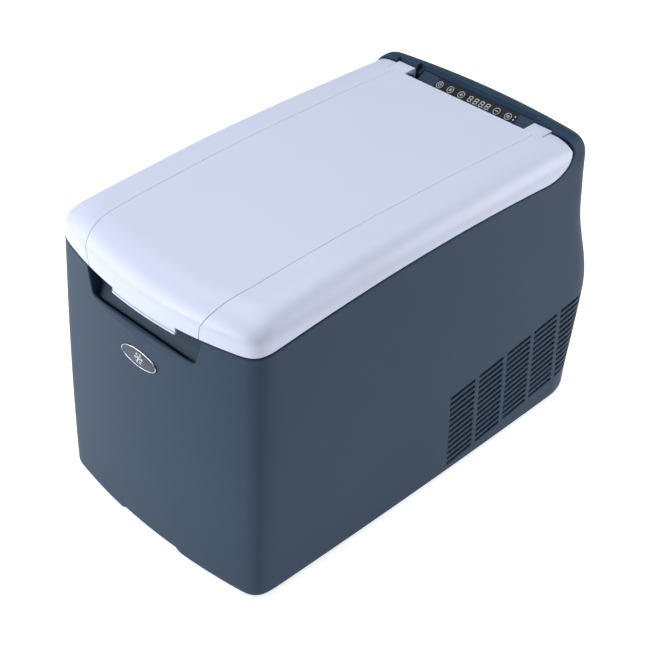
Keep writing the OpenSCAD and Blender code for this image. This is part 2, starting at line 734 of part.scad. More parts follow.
module condenser_fins() color([0.8, 0.82, 0.84])
    for (k = [0:fin_count - 1]) {
        x = coil_x[0] + 10 + k * (coil_x[1] - coil_x[0] - 20) / (fin_count - 1);
        difference() {
            box([x - 0.4, coil_y - 12, 24], [x + 0.4, coil_y + 12, 134]);
            for (i = [0:coil_rows - 1])
                translate([x - 1, coil_y, coil_row_z(i)]) rotate([0, 90, 0]) cylinder(r = coil_r, h = 2, $fn = 32);
        }
    }

module condenser_brackets() color("silver")
    for (x = [coil_x[0] + 3, coil_x[1] - 5]) difference() {
        box([x, coil_y - 14, base_z + 8.2], [x + 2, coil_y + 10, 140]);
        for (i = [0:coil_rows - 1])
            translate([x - 1, coil_y, coil_row_z(i)]) rotate([0, 90, 0]) cylinder(r = coil_r, h = 4, $fn = 32);
    }

fan_c = [158, 84];
fan_y = [92, 117];
module fan_shroud() color([0.1, 0.1, 0.11]) difference() {
    union() {
        difference() {
            box([fan_c[0] - 60, fan_y[0], fan_c[1] - 60], [fan_c[0] + 60, fan_y[1], fan_c[1] + 60]);
            y_rod(fan_c[0], fan_c[1], 57, fan_y[0] - 1, fan_y[1] + 1);
        }
        for (a = [45:90:315])
            translate([fan_c[0], fan_y[0], fan_c[1]]) rotate([0, a, 0]) box([16, 0.8, -2], [60, 3.4, 2]);
        y_rod(fan_c[0], fan_c[1], 19, fan_y[0] + 0.6, fan_y[0] + 4);
    }
    for (x = [-52.5, 52.5]) for (z = [-52.5, 52.5])
        y_rod(fan_c[0] + x, fan_c[1] + z, 2.2, fan_y[0] - 1, fan_y[1] + 1);
}

module fan_motor() color("silver") {
    y_rod(fan_c[0], fan_c[1], 14, fan_y[0] + 4, fan_y[0] + 8);
    y_rod(fan_c[0], fan_c[1], 2, fan_y[0] + 8, fan_y[1] - 2.5);
}

module fan_rotor() color([0.12, 0.12, 0.13]) {
    difference() {
        y_rod(fan_c[0], fan_c[1], 20, fan_y[0] + 9, fan_y[1] - 1);
        y_rod(fan_c[0], fan_c[1], 2.05, fan_y[0], fan_y[1] - 2.2);
    }
    for (k = [0:blade_count - 1])
        translate([fan_c[0], (fan_y[0] + fan_y[1]) / 2 + 4, fan_c[1]]) rotate([0, k * 360 / blade_count, 0])
            rotate([35, 0, 0]) box([18, -1, -13], [54, 1, 13]);
}

module fan_screws() color("silver")
    for (x = [-52.5, 52.5]) for (z = [-52.5, 52.5]) {
        y_rod(fan_c[0] + x, fan_c[1] + z, 2.1, fan_y[0] - 1, fan_y[1]);
        y_rod(fan_c[0] + x, fan_c[1] + z, 3.6, fan_y[0] - 3, fan_y[0]);
    }

evap_y = tub_w / 2 + tub_wall + 0.3;
module evaporator_plate() color([0.8, 0.82, 0.84])
    box([-232, evap_y, 90], [-18, evap_y + 1.2, 290]);

evap_z = [for (i = [0:5]) 103 + i * 34];
module evaporator_tube() color([0.72, 0.45, 0.28]) {
    y = evap_y + 1.2 + 3.1;
    for (z = evap_z)
        translate([-210, y, z]) rotate([0, 90, 0]) cylinder(r = 3, h = 170, $fn = 24);
    for (i = [0:4]) {
        right = i % 2 == 1;
        translate([right ? -40 : -210, y, (evap_z[i] + evap_z[i + 1]) / 2])
            rotate([90, right ? 0 : 180, 0]) rotate([0, 0, -90])
                rotate_extrude(angle = 180, $fn = 48) translate([17, 0]) circle(r = 3, $fn = 24);
    }
}

line_y = evap_y + 4.3;
module suction_line() color([0.72, 0.45, 0.28])
    pipe([[-40, line_y, 103], [44, line_y, 103], [44, can_c[1], 103], [can_c[0] - can_r, can_c[1], 103]], 3);

module capillary_tube() color([0.72, 0.45, 0.28])
    pipe([[56, 56, 34], [36, 56, 34], [36, 130, 34], [36, 130, 110], [36, line_y, 110], [-14, line_y, 110]], 1.3);

module discharge_line() color([0.72, 0.45, 0.28])
    pipe([[can_c[0] + 20, can_c[1], can_z + 112], [can_c[0] + 20, can_c[1], 156], [252, can_c[1], 156],
          [252, coil_y, 156], [252, coil_y, coil_row_z(5)], [coil_x[1], coil_y, coil_row_z(5)]], 3);

module filter_drier() color([0.72, 0.45, 0.28]) {
    translate([56, 56, 34]) rotate([-90, 0, 0]) {
        cylinder(r = 8, h = 56, $fn = 40);
        translate([0, 0, -6]) cylinder(r1 = 2.5, r2 = 8, h = 6, $fn = 40);
        translate([0, 0, 56]) cylinder(r1 = 8, r2 = 4, h = 6, $fn = 40);
    }
    pipe([[56, 118, 34], [56, coil_y, 34], [coil_x[0], coil_y, 34]], coil_r);
}

module inlet_panel() color([0.12, 0.13, 0.14]) difference() {
    box([296.5, -59.5, 62.5], [299.5, 59.5, 111.5]);
    translate([290, 30, 87]) rotate([0, 90, 0]) cylinder(r = 11.1, h = 20, $fn = 48);
    box([290, -40.6, 76.4], [305, -11.4, 97.6]);
    translate([290, 50, 100]) rotate([0, 90, 0]) cylinder(r = 6.1, h = 20, $fn = 32);
}

module dc_inlet_socket() color([0.08, 0.08, 0.08]) translate([0, 30, 87]) rotate([0, 90, 0]) difference() {
    union() {
        translate([0, 0, 272]) cylinder(r = 11, h = 29, $fn = 48);
        translate([0, 0, 299.5]) cylinder(r = 12, h = 2, $fn = 48);
    }
    translate([0, 0, 278]) cylinder(r = 9, h = 30, $fn = 48);
}

module ac_inlet_socket() color([0.08, 0.08, 0.08]) difference() {
    union() {
        box([272, -40.5, 76.5], [299.5, -11.5, 97.5]);
        box([299.5, -44, 73], [302, -8, 101]);
    }
    box([278, -37.5, 79.5], [303, -14.5, 94.5]);
}

module fuse_holder() color([0.08, 0.08, 0.08]) translate([0, 50, 100]) rotate([0, 90, 0]) {
    translate([0, 0, 270]) cylinder(r = 6, h = 30, $fn = 32);
    translate([0, 0, 299.5]) cylinder(r = 7.6, h = 4, $fn = 40);
}

module power_supply() color([0.2, 0.2, 0.21]) {
    box([246, -126, 30], [268, -48, 120]);
    box([244, -122, 34], [246, -52, 116]);
}

body_shell();
base_plate();
base_screws();
rubber_feet();
badge_plate();
grip_insert();
latch_keeper();
liner_tub();
tub_rim_frame();
foam_insulation();
lid_outer_shell();
lid_inner_panel();
lid_foam_core();
lid_gasket();
hinge_lugs();
hinge_brackets();
hinge_pins();
hinge_screws();
latch_tab();
latch_bracket();
latch_pivot_pin();
latch_spring();
control_fascia();
control_overlay();
display_module();
control_board();
button_power();
button_mode();
button_plus();
button_minus();
button_set();
status_leds();
ribbon_cable();
compressor_lower_can();
compressor_upper_can();
compressor_bracket();
compressor_grommets();
compressor_bolts();
compressor_driver();
condenser_coil();
condenser_fins();
condenser_brackets();
fan_shroud();
fan_rotor();
fan_motor();
fan_screws();
evaporator_plate();
evaporator_tube();
suction_line();
discharge_line();
filter_drier();
capillary_tube();
temperature_probe();
inlet_panel();
dc_inlet_socket();
ac_inlet_socket();
fuse_holder();
power_supply();
interior_lamp();
lamp_lens();
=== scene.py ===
"""Looks of the portable compressor cooler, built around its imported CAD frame."""

import json
import math

import bmesh
import bpy
from mathutils import Matrix, Vector


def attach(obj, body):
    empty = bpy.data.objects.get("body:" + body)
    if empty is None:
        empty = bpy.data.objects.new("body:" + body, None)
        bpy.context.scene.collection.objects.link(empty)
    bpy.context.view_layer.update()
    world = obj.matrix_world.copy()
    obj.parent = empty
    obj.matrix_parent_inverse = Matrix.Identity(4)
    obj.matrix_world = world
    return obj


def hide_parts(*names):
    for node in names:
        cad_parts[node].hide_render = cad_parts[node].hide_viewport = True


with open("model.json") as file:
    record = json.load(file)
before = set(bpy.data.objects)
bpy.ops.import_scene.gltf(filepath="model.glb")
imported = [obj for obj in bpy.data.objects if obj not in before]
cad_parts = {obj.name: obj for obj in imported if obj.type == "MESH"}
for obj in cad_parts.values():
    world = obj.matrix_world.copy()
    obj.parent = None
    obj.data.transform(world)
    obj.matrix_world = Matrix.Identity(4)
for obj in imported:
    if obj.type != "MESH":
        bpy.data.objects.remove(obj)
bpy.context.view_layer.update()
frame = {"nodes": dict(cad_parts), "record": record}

# ---------------------------------------------------------------- dimensions, in millimetres
# The front is on -X, the hood and the machinery end on +X, and the floor is z = 0.

MM = 0.001
OVER_Z = 440.0  # above everything: cutters that are open upwards end here

JOINT_Z = 346.4  # the lid joint at the front
HOOD_TOP = 402.0
FRONT_X = -322.0
BULGE_X = 322.0
HOOD_STEP = 29.0  # how far the end bulges out past the hood
HOOD_X = BULGE_X - HOOD_STEP
HALF_W = 180.0
WALL = 3.0
BASE_Z = 3.0
FOOT_R = 6.0
BULGE_Z = 162.0
HOOD_BASE_Z = 310.0
END_TUCK, END_TUCK_DROP = 14.0, 112.0  # how the end draws in below the bulge
FRONT_LEAN, FRONT_LEAN_POWER = 13.7, 1.3
FRONT_BOW_TOP = 25.9
FRONT_BOW_BASE = 17.8
END_BOW = 15.0
SIDE_SWELL, SWELL_Z, SWELL_SPAN = 4.4, 110.0, 240.0  # the sides swell most at SWELL_Z
SIDE_BARREL = 4.0  # and draw in by this much at both ends
CORNER_Y = 38.0
CORNER_FRONT = 44.0
CORNER_END = 32.0
CORNER_END_LOW = 18.0  # what is added to the end corners' length at the bottom
END_POWER_LOW = 1.15  # and what is taken from their squareness
LOW_END_Z = 40.0
CORNER_POWER = 3.2  # squareness of the end corners, as the power of a superellipse
FRONT_POWER = 4.6  # and of the front corners of body and lid
SIDE_ROLL_Z = 362.0
END_ROLL_Z = 382.0

JOINT_RUN, JOINT_RISE, JOINT_ARCH = 577.0, 8.0, 18.5  # length, rise and arch of the joint line
SWOOP_X, SWOOP_SPREAD = 190.0, 126.0  # behind SWOOP_X it climbs to the hinge
JOINT_GAP = 2.0
RIM_R = 1.6
JOINT_MARGIN = 6.0  # how far the space over the joint reaches past the body

HINGE_X, HINGE_Z = 238.0, 390.0
LUG_IN, LUG_OUT, LUG_R = 103.0, 132.0, 16.0
LUG_CLEAR, LUG_SIDE_CLEAR = 1.2, 1.5
LUG_WELL, LUG_GAP = 7.5, 1.6  # room inwards of a lug: round it, and above its pin
WELL_X, WELL_Z = 234.0, 362.0

LID_END_X = HINGE_X + 9
LID_MID_X = HINGE_X - 7
LID_PEAK_X, LID_FALL_SPAN = -20.0, 250.0  # the lid is highest at LID_PEAK_X
LID_FALL_FRONT, LID_FALL_END = 9.0, 5.0
LID_EDGE_H, LID_FLAT_X = 1.5, 120.0
LID_RISE, LID_RISE_X, LID_RISE_SPAN, LID_RISE_POWER = 18.0, -130.0, 180.0, 1.2
LID_ROLL_Y = 38.0
LID_ROLL_LENGTH = 42.0  # path over the rolled edge, which spaces the lid's rings
LID_INSET = 0.6
LID_FRONT_INSET = 0.4
LID_END_R = 13.0
GROOVE_R = 0.7

PANEL_TILT = math.radians(30)
PANEL_MID = (249.0, 386.5)
PANEL_HALF = 15.0
PANEL_W = 95.0
HOOD_IN_X = 262.0
KEY_YS = {"power": 58.0, "mode": 39.0, "plus": 20.0, "minus": -41.0, "set": -60.0}
KEY_ALONG = 4.0
KEY_R = 5.8
KEY_TOP = 0.9
DISPLAY_Y = (-31.0, 12.0)
OVERLAY_Y = (-72.0, 66.0)
LAMP_Y, LAMP_R, LAMPS_ALONG = -69.0, 1.1, (8, 3)

GRIP_HALF = 91.5
GRIP_BASE = 312.5
GRIP_FLARE = 12.0
GRIP_TOP = JOINT_Z + 5
GRIP_BACK = FRONT_X + 37.7
GRIP_CORNER, GRIP_EDGE = 7.0, 2.6
LIP_CREST = -303.3
LIP_BACK = -302.5
LIP_MIN, LIP_TALL = 1.6, 0.35
LIP_TOP, LIP_BLEND = GRIP_BASE + 14, 12.0  # the lip turns into the side edges below LIP_TOP
LIP_BAR_Z = 298.0
MOUTH_REACH, MOUTH_SPREAD, MOUTH_X = 4.0, 10.0, FRONT_X - 16
SCOOP_SIDE, SCOOP_WALL = 0.7, 0.8

BADGE_Z = 275.0
BADGE_R = 12.1
BADGE_STRETCH = BADGE_R * 1.58
BADGE_SEAT_R, BADGE_SEAT_LONG = 12.5, 2.58
FIELD_R, FIELD_LONG = 11.2, 2.7

SLOT_PITCH = 9.0
SLOT_SLOPE = 0.104
SLOT_L, SLOT_H, SLOT_R = 46.5, 4.3, 0.7
SLOT_LEVELS = ((-3.0, 1.3), (0.0, 0.7), (0.3, 0.25), (0.8, 0.0), (24.0, 0.0))  # depth, growth
COL_X0, COL_PITCH = 23.5, 54.3
COLUMNS, ROWS = 5, 13
GRILLE_BASE = 15.6


def clamp01(t):
    return min(max(t, 0.0), 1.0)


def ease(t):
    return (1 - math.cos(math.pi * clamp01(t))) / 2


def below_top(z):
    """0 at the lid joint and 1 on the floor."""
    return clamp01((JOINT_Z - z) / JOINT_Z)


def low_end(z):
    """0 at the hood's base and 1 where the end corners are at their roundest."""
    return clamp01((HOOD_BASE_Z - z) / (HOOD_BASE_Z - LOW_END_Z))


def front_at(z):
    return FRONT_X + FRONT_LEAN * (1 - below_top(z)) ** FRONT_LEAN_POWER


def front_bow_at(z):
    return FRONT_BOW_TOP + (FRONT_BOW_BASE - FRONT_BOW_TOP) * below_top(z)


def half_w_at(z):
    return HALF_W + SIDE_SWELL * (1 - ((min(z, JOINT_Z) - SWELL_Z) / SWELL_SPAN) ** 2)


def end_at(z):
    if z > BULGE_Z:
        return HOOD_X + HOOD_STEP * ease((HOOD_BASE_Z - z) / (HOOD_BASE_Z - BULGE_Z))
    return BULGE_X - END_TUCK * (BULGE_Z - z) / END_TUCK_DROP


def barrel(x, y):
    """Draws y in towards both ends of the body."""
    return y * (1 - SIDE_BARREL / HALF_W * (x / BULGE_X) ** 2)


def side_y(x, z):
    """Half width of the body's side at x and z, below its rolled top edge."""
    return barrel(x, half_w_at(z))


def front_face_x(y, z):
    return front_at(z) + front_bow_at(z) * (y / half_w_at(z)) ** 2


def joint_at(x):
    """Height of the lid joint: a shallow arch along the side, then a swoop up to the hinge."""
    u = clamp01((x - FRONT_X - FRONT_LEAN) / JOINT_RUN)
    arch = JOINT_ARCH * 4 * u * (1 - u)
    return JOINT_Z + JOINT_RISE * u + arch + max(x - SWOOP_X, 0) ** 2 / SWOOP_SPREAD


def lid_top(x):
    fall = LID_FALL_FRONT if x < LID_PEAK_X else LID_FALL_END
    return HOOD_TOP - fall * ((x - LID_PEAK_X) / LID_FALL_SPAN) ** 2


# ---------------------------------------------------------------- outlines

FACE_STEPS = 14
SIDE_STEPS = 56
CORNER_ANGLES = [math.radians(a) for a in range(4, 90, 5)]


def corner(a, power=FRONT_POWER):
    """Shares of a corner's length and width at angle a of a superellipse."""
    p = 2 / power
    return math.sin(a) ** p, math.cos(a) ** p


def half_ring(z, inset, roll):
    """Half of the body's outline at height z, from the machinery end along +Y to the front.

    Each point is x, y and its share of the end's higher roll; roll shrinks the corners to 0.
    """
    w = half_w_at(z) - inset
    core_y = w - CORNER_Y
    bow = front_bow_at(z)
    long_e = CORNER_END + CORNER_END_LOW * low_end(z)
    core_e = end_at(z) - inset - END_BOW - long_e
    core_f = front_at(z) + inset + bow + CORNER_FRONT

    def end_x(y, out):
        return core_e + END_BOW * (1 - (y / w) ** 2) + out

    def front_x(y, out):
        return core_f - bow * (1 - (y / w) ** 2) - out

    points = []
    for i in range(FACE_STEPS):
        y = core_y * (i + 0.5) / FACE_STEPS
        points.append((end_x(y, long_e * roll), y, 1.0))
    for a in reversed(CORNER_ANGLES):
        c0, c1 = corner(a, CORNER_POWER - END_POWER_LOW * low_end(z))
        y = core_y + CORNER_Y * roll * c1
        points.append((end_x(y, long_e * roll * c0), y, math.sin(a)))
    for i in range(SIDE_STEPS + 1):
        x = core_e + (core_f - core_e) * i / SIDE_STEPS
        points.append((x, core_y + CORNER_Y * roll, 0.0))
    for a in CORNER_ANGLES:
        c0, c1 = corner(a)
        y = core_y + CORNER_Y * roll * c1
        points.append((front_x(y, CORNER_FRONT * roll * c0), y, 0.0))
    for i in range(FACE_STEPS):
        y = core_y * (FACE_STEPS - i - 0.5) / FACE_STEPS
        points.append((front_x(y, CORNER_FRONT * roll), y, 0.0))
    return points


def mirrored(half):
    return half + [(x, -y, z) for x, y, z in reversed(half)]


def side_ring(z, inset):
    return mirrored([(x, barrel(x, y), z) for x, y, _ in half_ring(z, inset, 1)])


def roll_ring(a):
    """A ring in the hood's rolled edge; a = 0 at its foot and a quarter turn on top."""
    ring = []
    for x, y, end_share in half_ring(JOINT_Z, 0, math.cos(a)):
        foot = SIDE_ROLL_Z + (END_ROLL_Z - SIDE_ROLL_Z) * end_share
        ring.append((x, barrel(x, y), foot + (HOOD_TOP - foot) * math.sin(a)))
    return mirrored(ring)


def joint_ring(inset, drop, height=None):
    """The body's outline along the lid joint, ended flat behind the lid."""
    ring = []
    w = half_w_at(JOINT_Z) - inset
    for x, y, _ in half_ring(JOINT_Z, inset, 1):
        flat_x = min(x, LID_END_X + JOINT_GAP)
        z = joint_at(flat_x)
        rise = clamp01((z - SIDE_ROLL_Z) / (HOOD_TOP - SIDE_ROLL_Z))
        y = min(y, w - CORNER_Y + CORNER_Y * math.sqrt(1 - rise**2))
        ring.append((flat_x, barrel(flat_x, y), z - drop if height is None else height))
    return mirrored(ring)


# ---------------------------------------------------------------- mesh tools

SHARP = 32  # edges that turn by more degrees than this stay sharp
SAME_POINT = 2e-6  # metres


def mesh_object(name, points, faces, scale=MM):
    """A new object from points in millimetres, its faces turned outwards."""
    mesh = bpy.data.meshes.new(name)
    mesh.from_pydata([Vector(p) * scale for p in points], [], faces)
    work = bmesh.new()
    work.from_mesh(mesh)
    bmesh.ops.remove_doubles(work, verts=work.verts, dist=SAME_POINT)
    bmesh.ops.recalc_face_normals(work, faces=work.faces)
    work.to_mesh(mesh)
    work.free()
    obj = bpy.data.objects.new(name, mesh)
    bpy.context.scene.collection.objects.link(obj)
    return obj


def loft(name, rings, strips=True):
    """Closed solid through rings; strips across the middle plane close its mirrored ends."""
    n = len(rings[0])
    last = len(rings) - 1
    points = [p for ring in rings for p in ring]
    faces = []
    for k in range(last):
        for i in range(n):
            j = (i + 1) % n
            faces.append((k * n + i, k * n + j, (k + 1) * n + j, (k + 1) * n + i))
    for base in (0, last * n):
        if strips:
            far = base + n - 1
            faces += [(base + i, base + i + 1, far - i - 1, far - i) for i in range(n // 2 - 1)]
        else:
            faces.append(tuple(base + i for i in range(n)))
    return mesh_object(name, points, faces)


def lofted(name, outlines):
    """Closed solid through matching outlines of points, ended with flat faces."""
    return loft(name, outlines, strips=False)


def turned(name, profile, place, n, stretch=0.0, closed=False):
    """A profile of radius and height turned round an axis, its circles stretched along u."""
    points = []
    for i in range(n):
        t = 2 * math.pi * i / n
        points += [place((r + stretch) * math.cos(t), r * math.sin(t), out) for r, out in profile]
    m = len(profile)
    faces = []
    for i in range(n):
        here, ahead = i * m, (i + 1) % n * m
        for k in range(m if closed else m - 1):
            up = (k + 1) % m
            faces.append((here + k, here + up, ahead + up, ahead + k))
    if not closed:
        faces += [tuple(i * m + k for i in range(n)) for k in (0, m - 1)]
    return mesh_object(name, points, faces)


def prism(name, outline, low, high, place):
    """An outline swept from low to high; place turns (u, v, w) into a point."""
    n = len(outline)
    points = [place(u, v, w) for w in (low, high) for u, v in outline]
    faces = [tuple(range(n)), tuple(range(n, 2 * n))]
    faces += [(i, (i + 1) % n, n + (i + 1) % n, n + i) for i in range(n)]
    return mesh_object(name, points, faces)


def rounded(points, radius, steps):
    """The polygon with each corner turned into an arc of steps straight pieces."""
    done = []
    for i, corner_point in enumerate(points):
        p = Vector(corner_point)
        a = (Vector(points[i - 1]) - p).normalized()
        b = (Vector(points[(i + 1) % len(points)]) - p).normalized()
        half = a.angle(b) / 2
        reach = radius / math.tan(half)
        centre = p + (a + b).normalized() * (radius / math.sin(half))
        start = p + a * reach - centre
        end = p + b * reach - centre
        turn = start.angle_signed(end)
        for k in range(steps + 1):
            angle = -turn * k / steps
            x = start.x * math.cos(angle) - start.y * math.sin(angle)
            y = start.x * math.sin(angle) + start.y * math.cos(angle)
            done.append((centre.x + x, centre.y + y))
    return done


def rectangle(u0, v0, u1, v1, radius, steps):
    return rounded([(u0, v0), (u1, v0), (u1, v1), (u0, v1)], radius, steps)


def disc(u, v, radius, n, stretch=1.0):
    turns = [2 * math.pi * i / n for i in range(n)]
    return [(u + radius * stretch * math.cos(t), v + radius * math.sin(t)) for t in turns]


def joined(name, objects):
    """One object from several meshes."""
    whole = bmesh.new()
    for obj in objects:
        whole.from_mesh(obj.data)
        bpy.data.objects.remove(obj)
    mesh = bpy.data.meshes.new(name)
    whole.to_mesh(mesh)
    whole.free()
    obj = bpy.data.objects.new(name, mesh)
    bpy.context.scene.collection.objects.link(obj)
    return obj


def apply_modifiers(obj):
    graph = bpy.context.evaluated_depsgraph_get()
    mesh = bpy.data.meshes.new_from_object(obj.evaluated_get(graph))
    obj.modifiers.clear()
    obj.data = mesh


def cut(obj, cutters, operation="DIFFERENCE"):
    """Takes each cutter away from obj, or adds it."""
    for cutter in cutters:
        modifier = obj.modifiers.new("cut", "BOOLEAN")
        modifier.operation = operation
        modifier.solver = "MANIFOLD"
        modifier.object = cutter
        apply_modifiers(obj)
        bpy.data.objects.remove(cutter)


def bevelled(obj, width):
    modifier = obj.modifiers.new("edge", "BEVEL")
    modifier.width = width * MM
    modifier.segments = 2
    modifier.angle_limit = math.radians(SHARP)
    apply_modifiers(obj)
    return obj


def finish_piece(obj, body, nodes, slot, sharp=SHARP, look=None):
    """Smooths a new piece, paints it as its slot or its own look, and makes it ride on its body."""
    obj.data.shade_smooth()
    obj.data.set_sharp_from_angle(angle=math.radians(sharp))
    obj.data.materials.clear()
    obj.data.materials.append(material(look or slot))
    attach(obj, body)
    if nodes:
        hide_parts(*nodes)


# Places for plane drawings: x, z from the side; y, z from the front; x, y from above.
def side_place(u, v, w):
    return (u, w, v)


def front_place(u, v, w):
    return (w, u, v)


def flat_place(u, v, w):
    return (u, v, w)


def panel_place(along, y, out):
    """A point given along the control panel's slope, across it and out of its face."""
    c, s = math.cos(PANEL_TILT), math.sin(PANEL_TILT)
    return (PANEL_MID[0] + along * c - out * s, y, PANEL_MID[1] + along * s + out * c)


# ---------------------------------------------------------------- materials

_made = {}


def new_material(name):
    """A new material with its nodes, links, shader and object coordinates."""
    mat = bpy.data.materials.new(name)
    mat.use_nodes = True
    nodes, links = mat.node_tree.nodes, mat.node_tree.links
    shader = nodes["Principled BSDF"]
    coords = nodes.new("ShaderNodeTexCoord")
    return mat, nodes, links, shader, coords.outputs["Object"]


def noise(nodes, links, where, scale, detail, rough=0.5):
    node = nodes.new("ShaderNodeTexNoise")
    node.inputs["Scale"].default_value = scale
    node.inputs["Detail"].default_value = detail
    node.inputs["Roughness"].default_value = rough
    links.new(where, node.inputs["Vector"])
    return node.outputs["Fac"]


def ramp(nodes, links, value, low, high, start=0.3, end=0.7):
    """Colours or greys from low to high as value goes from start to end."""
    node = nodes.new("ShaderNodeValToRGB")
    node.color_ramp.elements[0].position = start
    node.color_ramp.elements[1].position = end
    for element, colour in zip(node.color_ramp.elements, (low, high)):
        grey = (colour, colour, colour)
        element.color = (*colour, 1) if hasattr(colour, "__len__") else (*grey, 1)
    links.new(value, node.inputs["Fac"])
    return node.outputs["Color"]


def bump(nodes, links, shader, height, distance, strength=1.0, edge=0.0):
    """Relief in metres, over edges softened by the given radius."""
    node = nodes.new("ShaderNodeBump")
    node.inputs["Strength"].default_value = strength
    node.inputs["Distance"].default_value = distance
    links.new(height, node.inputs["Height"])
    if edge:
        soft = nodes.new("ShaderNodeBevel")
        soft.samples = 4
        soft.inputs["Radius"].default_value = edge
        links.new(soft.outputs["Normal"], node.inputs["Normal"])
    links.new(node.outputs["Normal"], shader.inputs["Normal"])


def moulded(
    name, colour, rough, grain=700, relief=0.00006, edge=0.0008, vary=0.06, coat=0.0, shine=0.5
):
    """Moulded plastic: fine spark grain, faint flow marks in its colour and gloss."""
    mat, nodes, links, shader, where = new_material(name)
    clouds = noise(nodes, links, where, 9, 3)
    dark = tuple(c * (1 - vary) for c in colour)
    light = tuple(min(c * (1 + vary), 1) for c in colour)
    links.new(ramp(nodes, links, clouds, dark, light), shader.inputs["Base Color"])
    fine = noise(nodes, links, where, grain, 2, 0.6)
    links.new(ramp(nodes, links, fine, rough - 0.05, rough + 0.06), shader.inputs["Roughness"])
    bump(nodes, links, shader, fine, relief, 0.5, edge)
    shader.inputs["Specular IOR Level"].default_value = shine
    shader.inputs["Coat Weight"].default_value = coat
    shader.inputs["Coat Roughness"].default_value = 0.08
    return mat


def metal(name, colour, rough, stretch=(1, 1, 1), scale=300, edge=0.0004):
    """Metal with drawn or rolled streaks along its stretched axis."""
    mat, nodes, links, shader, where = new_material(name)
    mapping = nodes.new("ShaderNodeMapping")
    mapping.inputs["Scale"].default_value = stretch
    links.new(where, mapping.inputs["Vector"])
    streaks = noise(nodes, links, mapping.outputs["Vector"], scale, 3, 0.6)
    stain = noise(nodes, links, where, 25, 4, 0.6)
    dull = tuple(c * 0.82 for c in colour)
    links.new(ramp(nodes, links, stain, dull, colour), shader.inputs["Base Color"])
    links.new(ramp(nodes, links, streaks, rough - 0.08, rough + 0.1), shader.inputs["Roughness"])
    shader.inputs["Metallic"].default_value = 1.0
    bump(nodes, links, shader, streaks, 0.00004, 0.4, edge)
    return mat


def foam(name, colour):
    """Foamed insulation: round cells over a mottled ground."""
    mat, nodes, links, shader, where = new_material(name)
    cells = nodes.new("ShaderNodeTexVoronoi")
    cells.inputs["Scale"].default_value = 420
    links.new(where, cells.inputs["Vector"])
    mottled = noise(nodes, links, where, 60, 5)
    dark = tuple(c * 0.8 for c in colour)
    links.new(ramp(nodes, links, mottled, dark, colour), shader.inputs["Base Color"])
    shader.inputs["Roughness"].default_value = 0.9
    bump(nodes, links, shader, cells.outputs["Distance"], 0.0006, 0.7)
    return mat


def board(name):
    """Circuit board: green lacquer with paler tracks under it."""
    mat, nodes, links, shader, where = new_material(name)
    tracks = nodes.new("ShaderNodeTexVoronoi")
    tracks.distance = "MANHATTAN"
    tracks.inputs["Scale"].default_value = 260
    links.new(where, tracks.inputs["Vector"])
    dark, pale = (0.01, 0.09, 0.04), (0.02, 0.16, 0.07)
    greens = ramp(nodes, links, tracks.outputs["Distance"], dark, pale, 0.2, 0.3)
    links.new(greens, shader.inputs["Base Color"])
    shader.inputs["Roughness"].default_value = 0.35
    bump(nodes, links, shader, tracks.outputs["Distance"], 0.00005)
    return mat


def lamp_glass(name, colour, glow):
    """Clouded lens over a lamp."""
    mat, nodes, links, shader, where = new_material(name)
    cloud = noise(nodes, links, where, 400, 3)
    pale = tuple(min(c * 1.15, 1) for c in colour)
    links.new(ramp(nodes, links, cloud, colour, pale), shader.inputs["Base Color"])
    links.new(ramp(nodes, links, cloud, 0.12, 0.25), shader.inputs["Roughness"])
    shader.inputs["Emission Color"].default_value = (*colour, 1)
    shader.inputs["Emission Strength"].default_value = glow
    bump(nodes, links, shader, cloud, 0.00002)
    return mat


BODY_BLUE = (0.020, 0.046, 0.086)
LID_WHITE = (0.57, 0.625, 0.78)
ENAMEL = (0.040, 0.062, 0.095)
OVERLAY_INK = (0.012, 0.016, 0.022)
WINDOW_GREY = (0.020, 0.024, 0.030)
KEY_GREY = (0.014, 0.018, 0.024)
LEGEND_GREY = (0.56, 0.60, 0.66)
COPPER = (0.80, 0.42, 0.24)

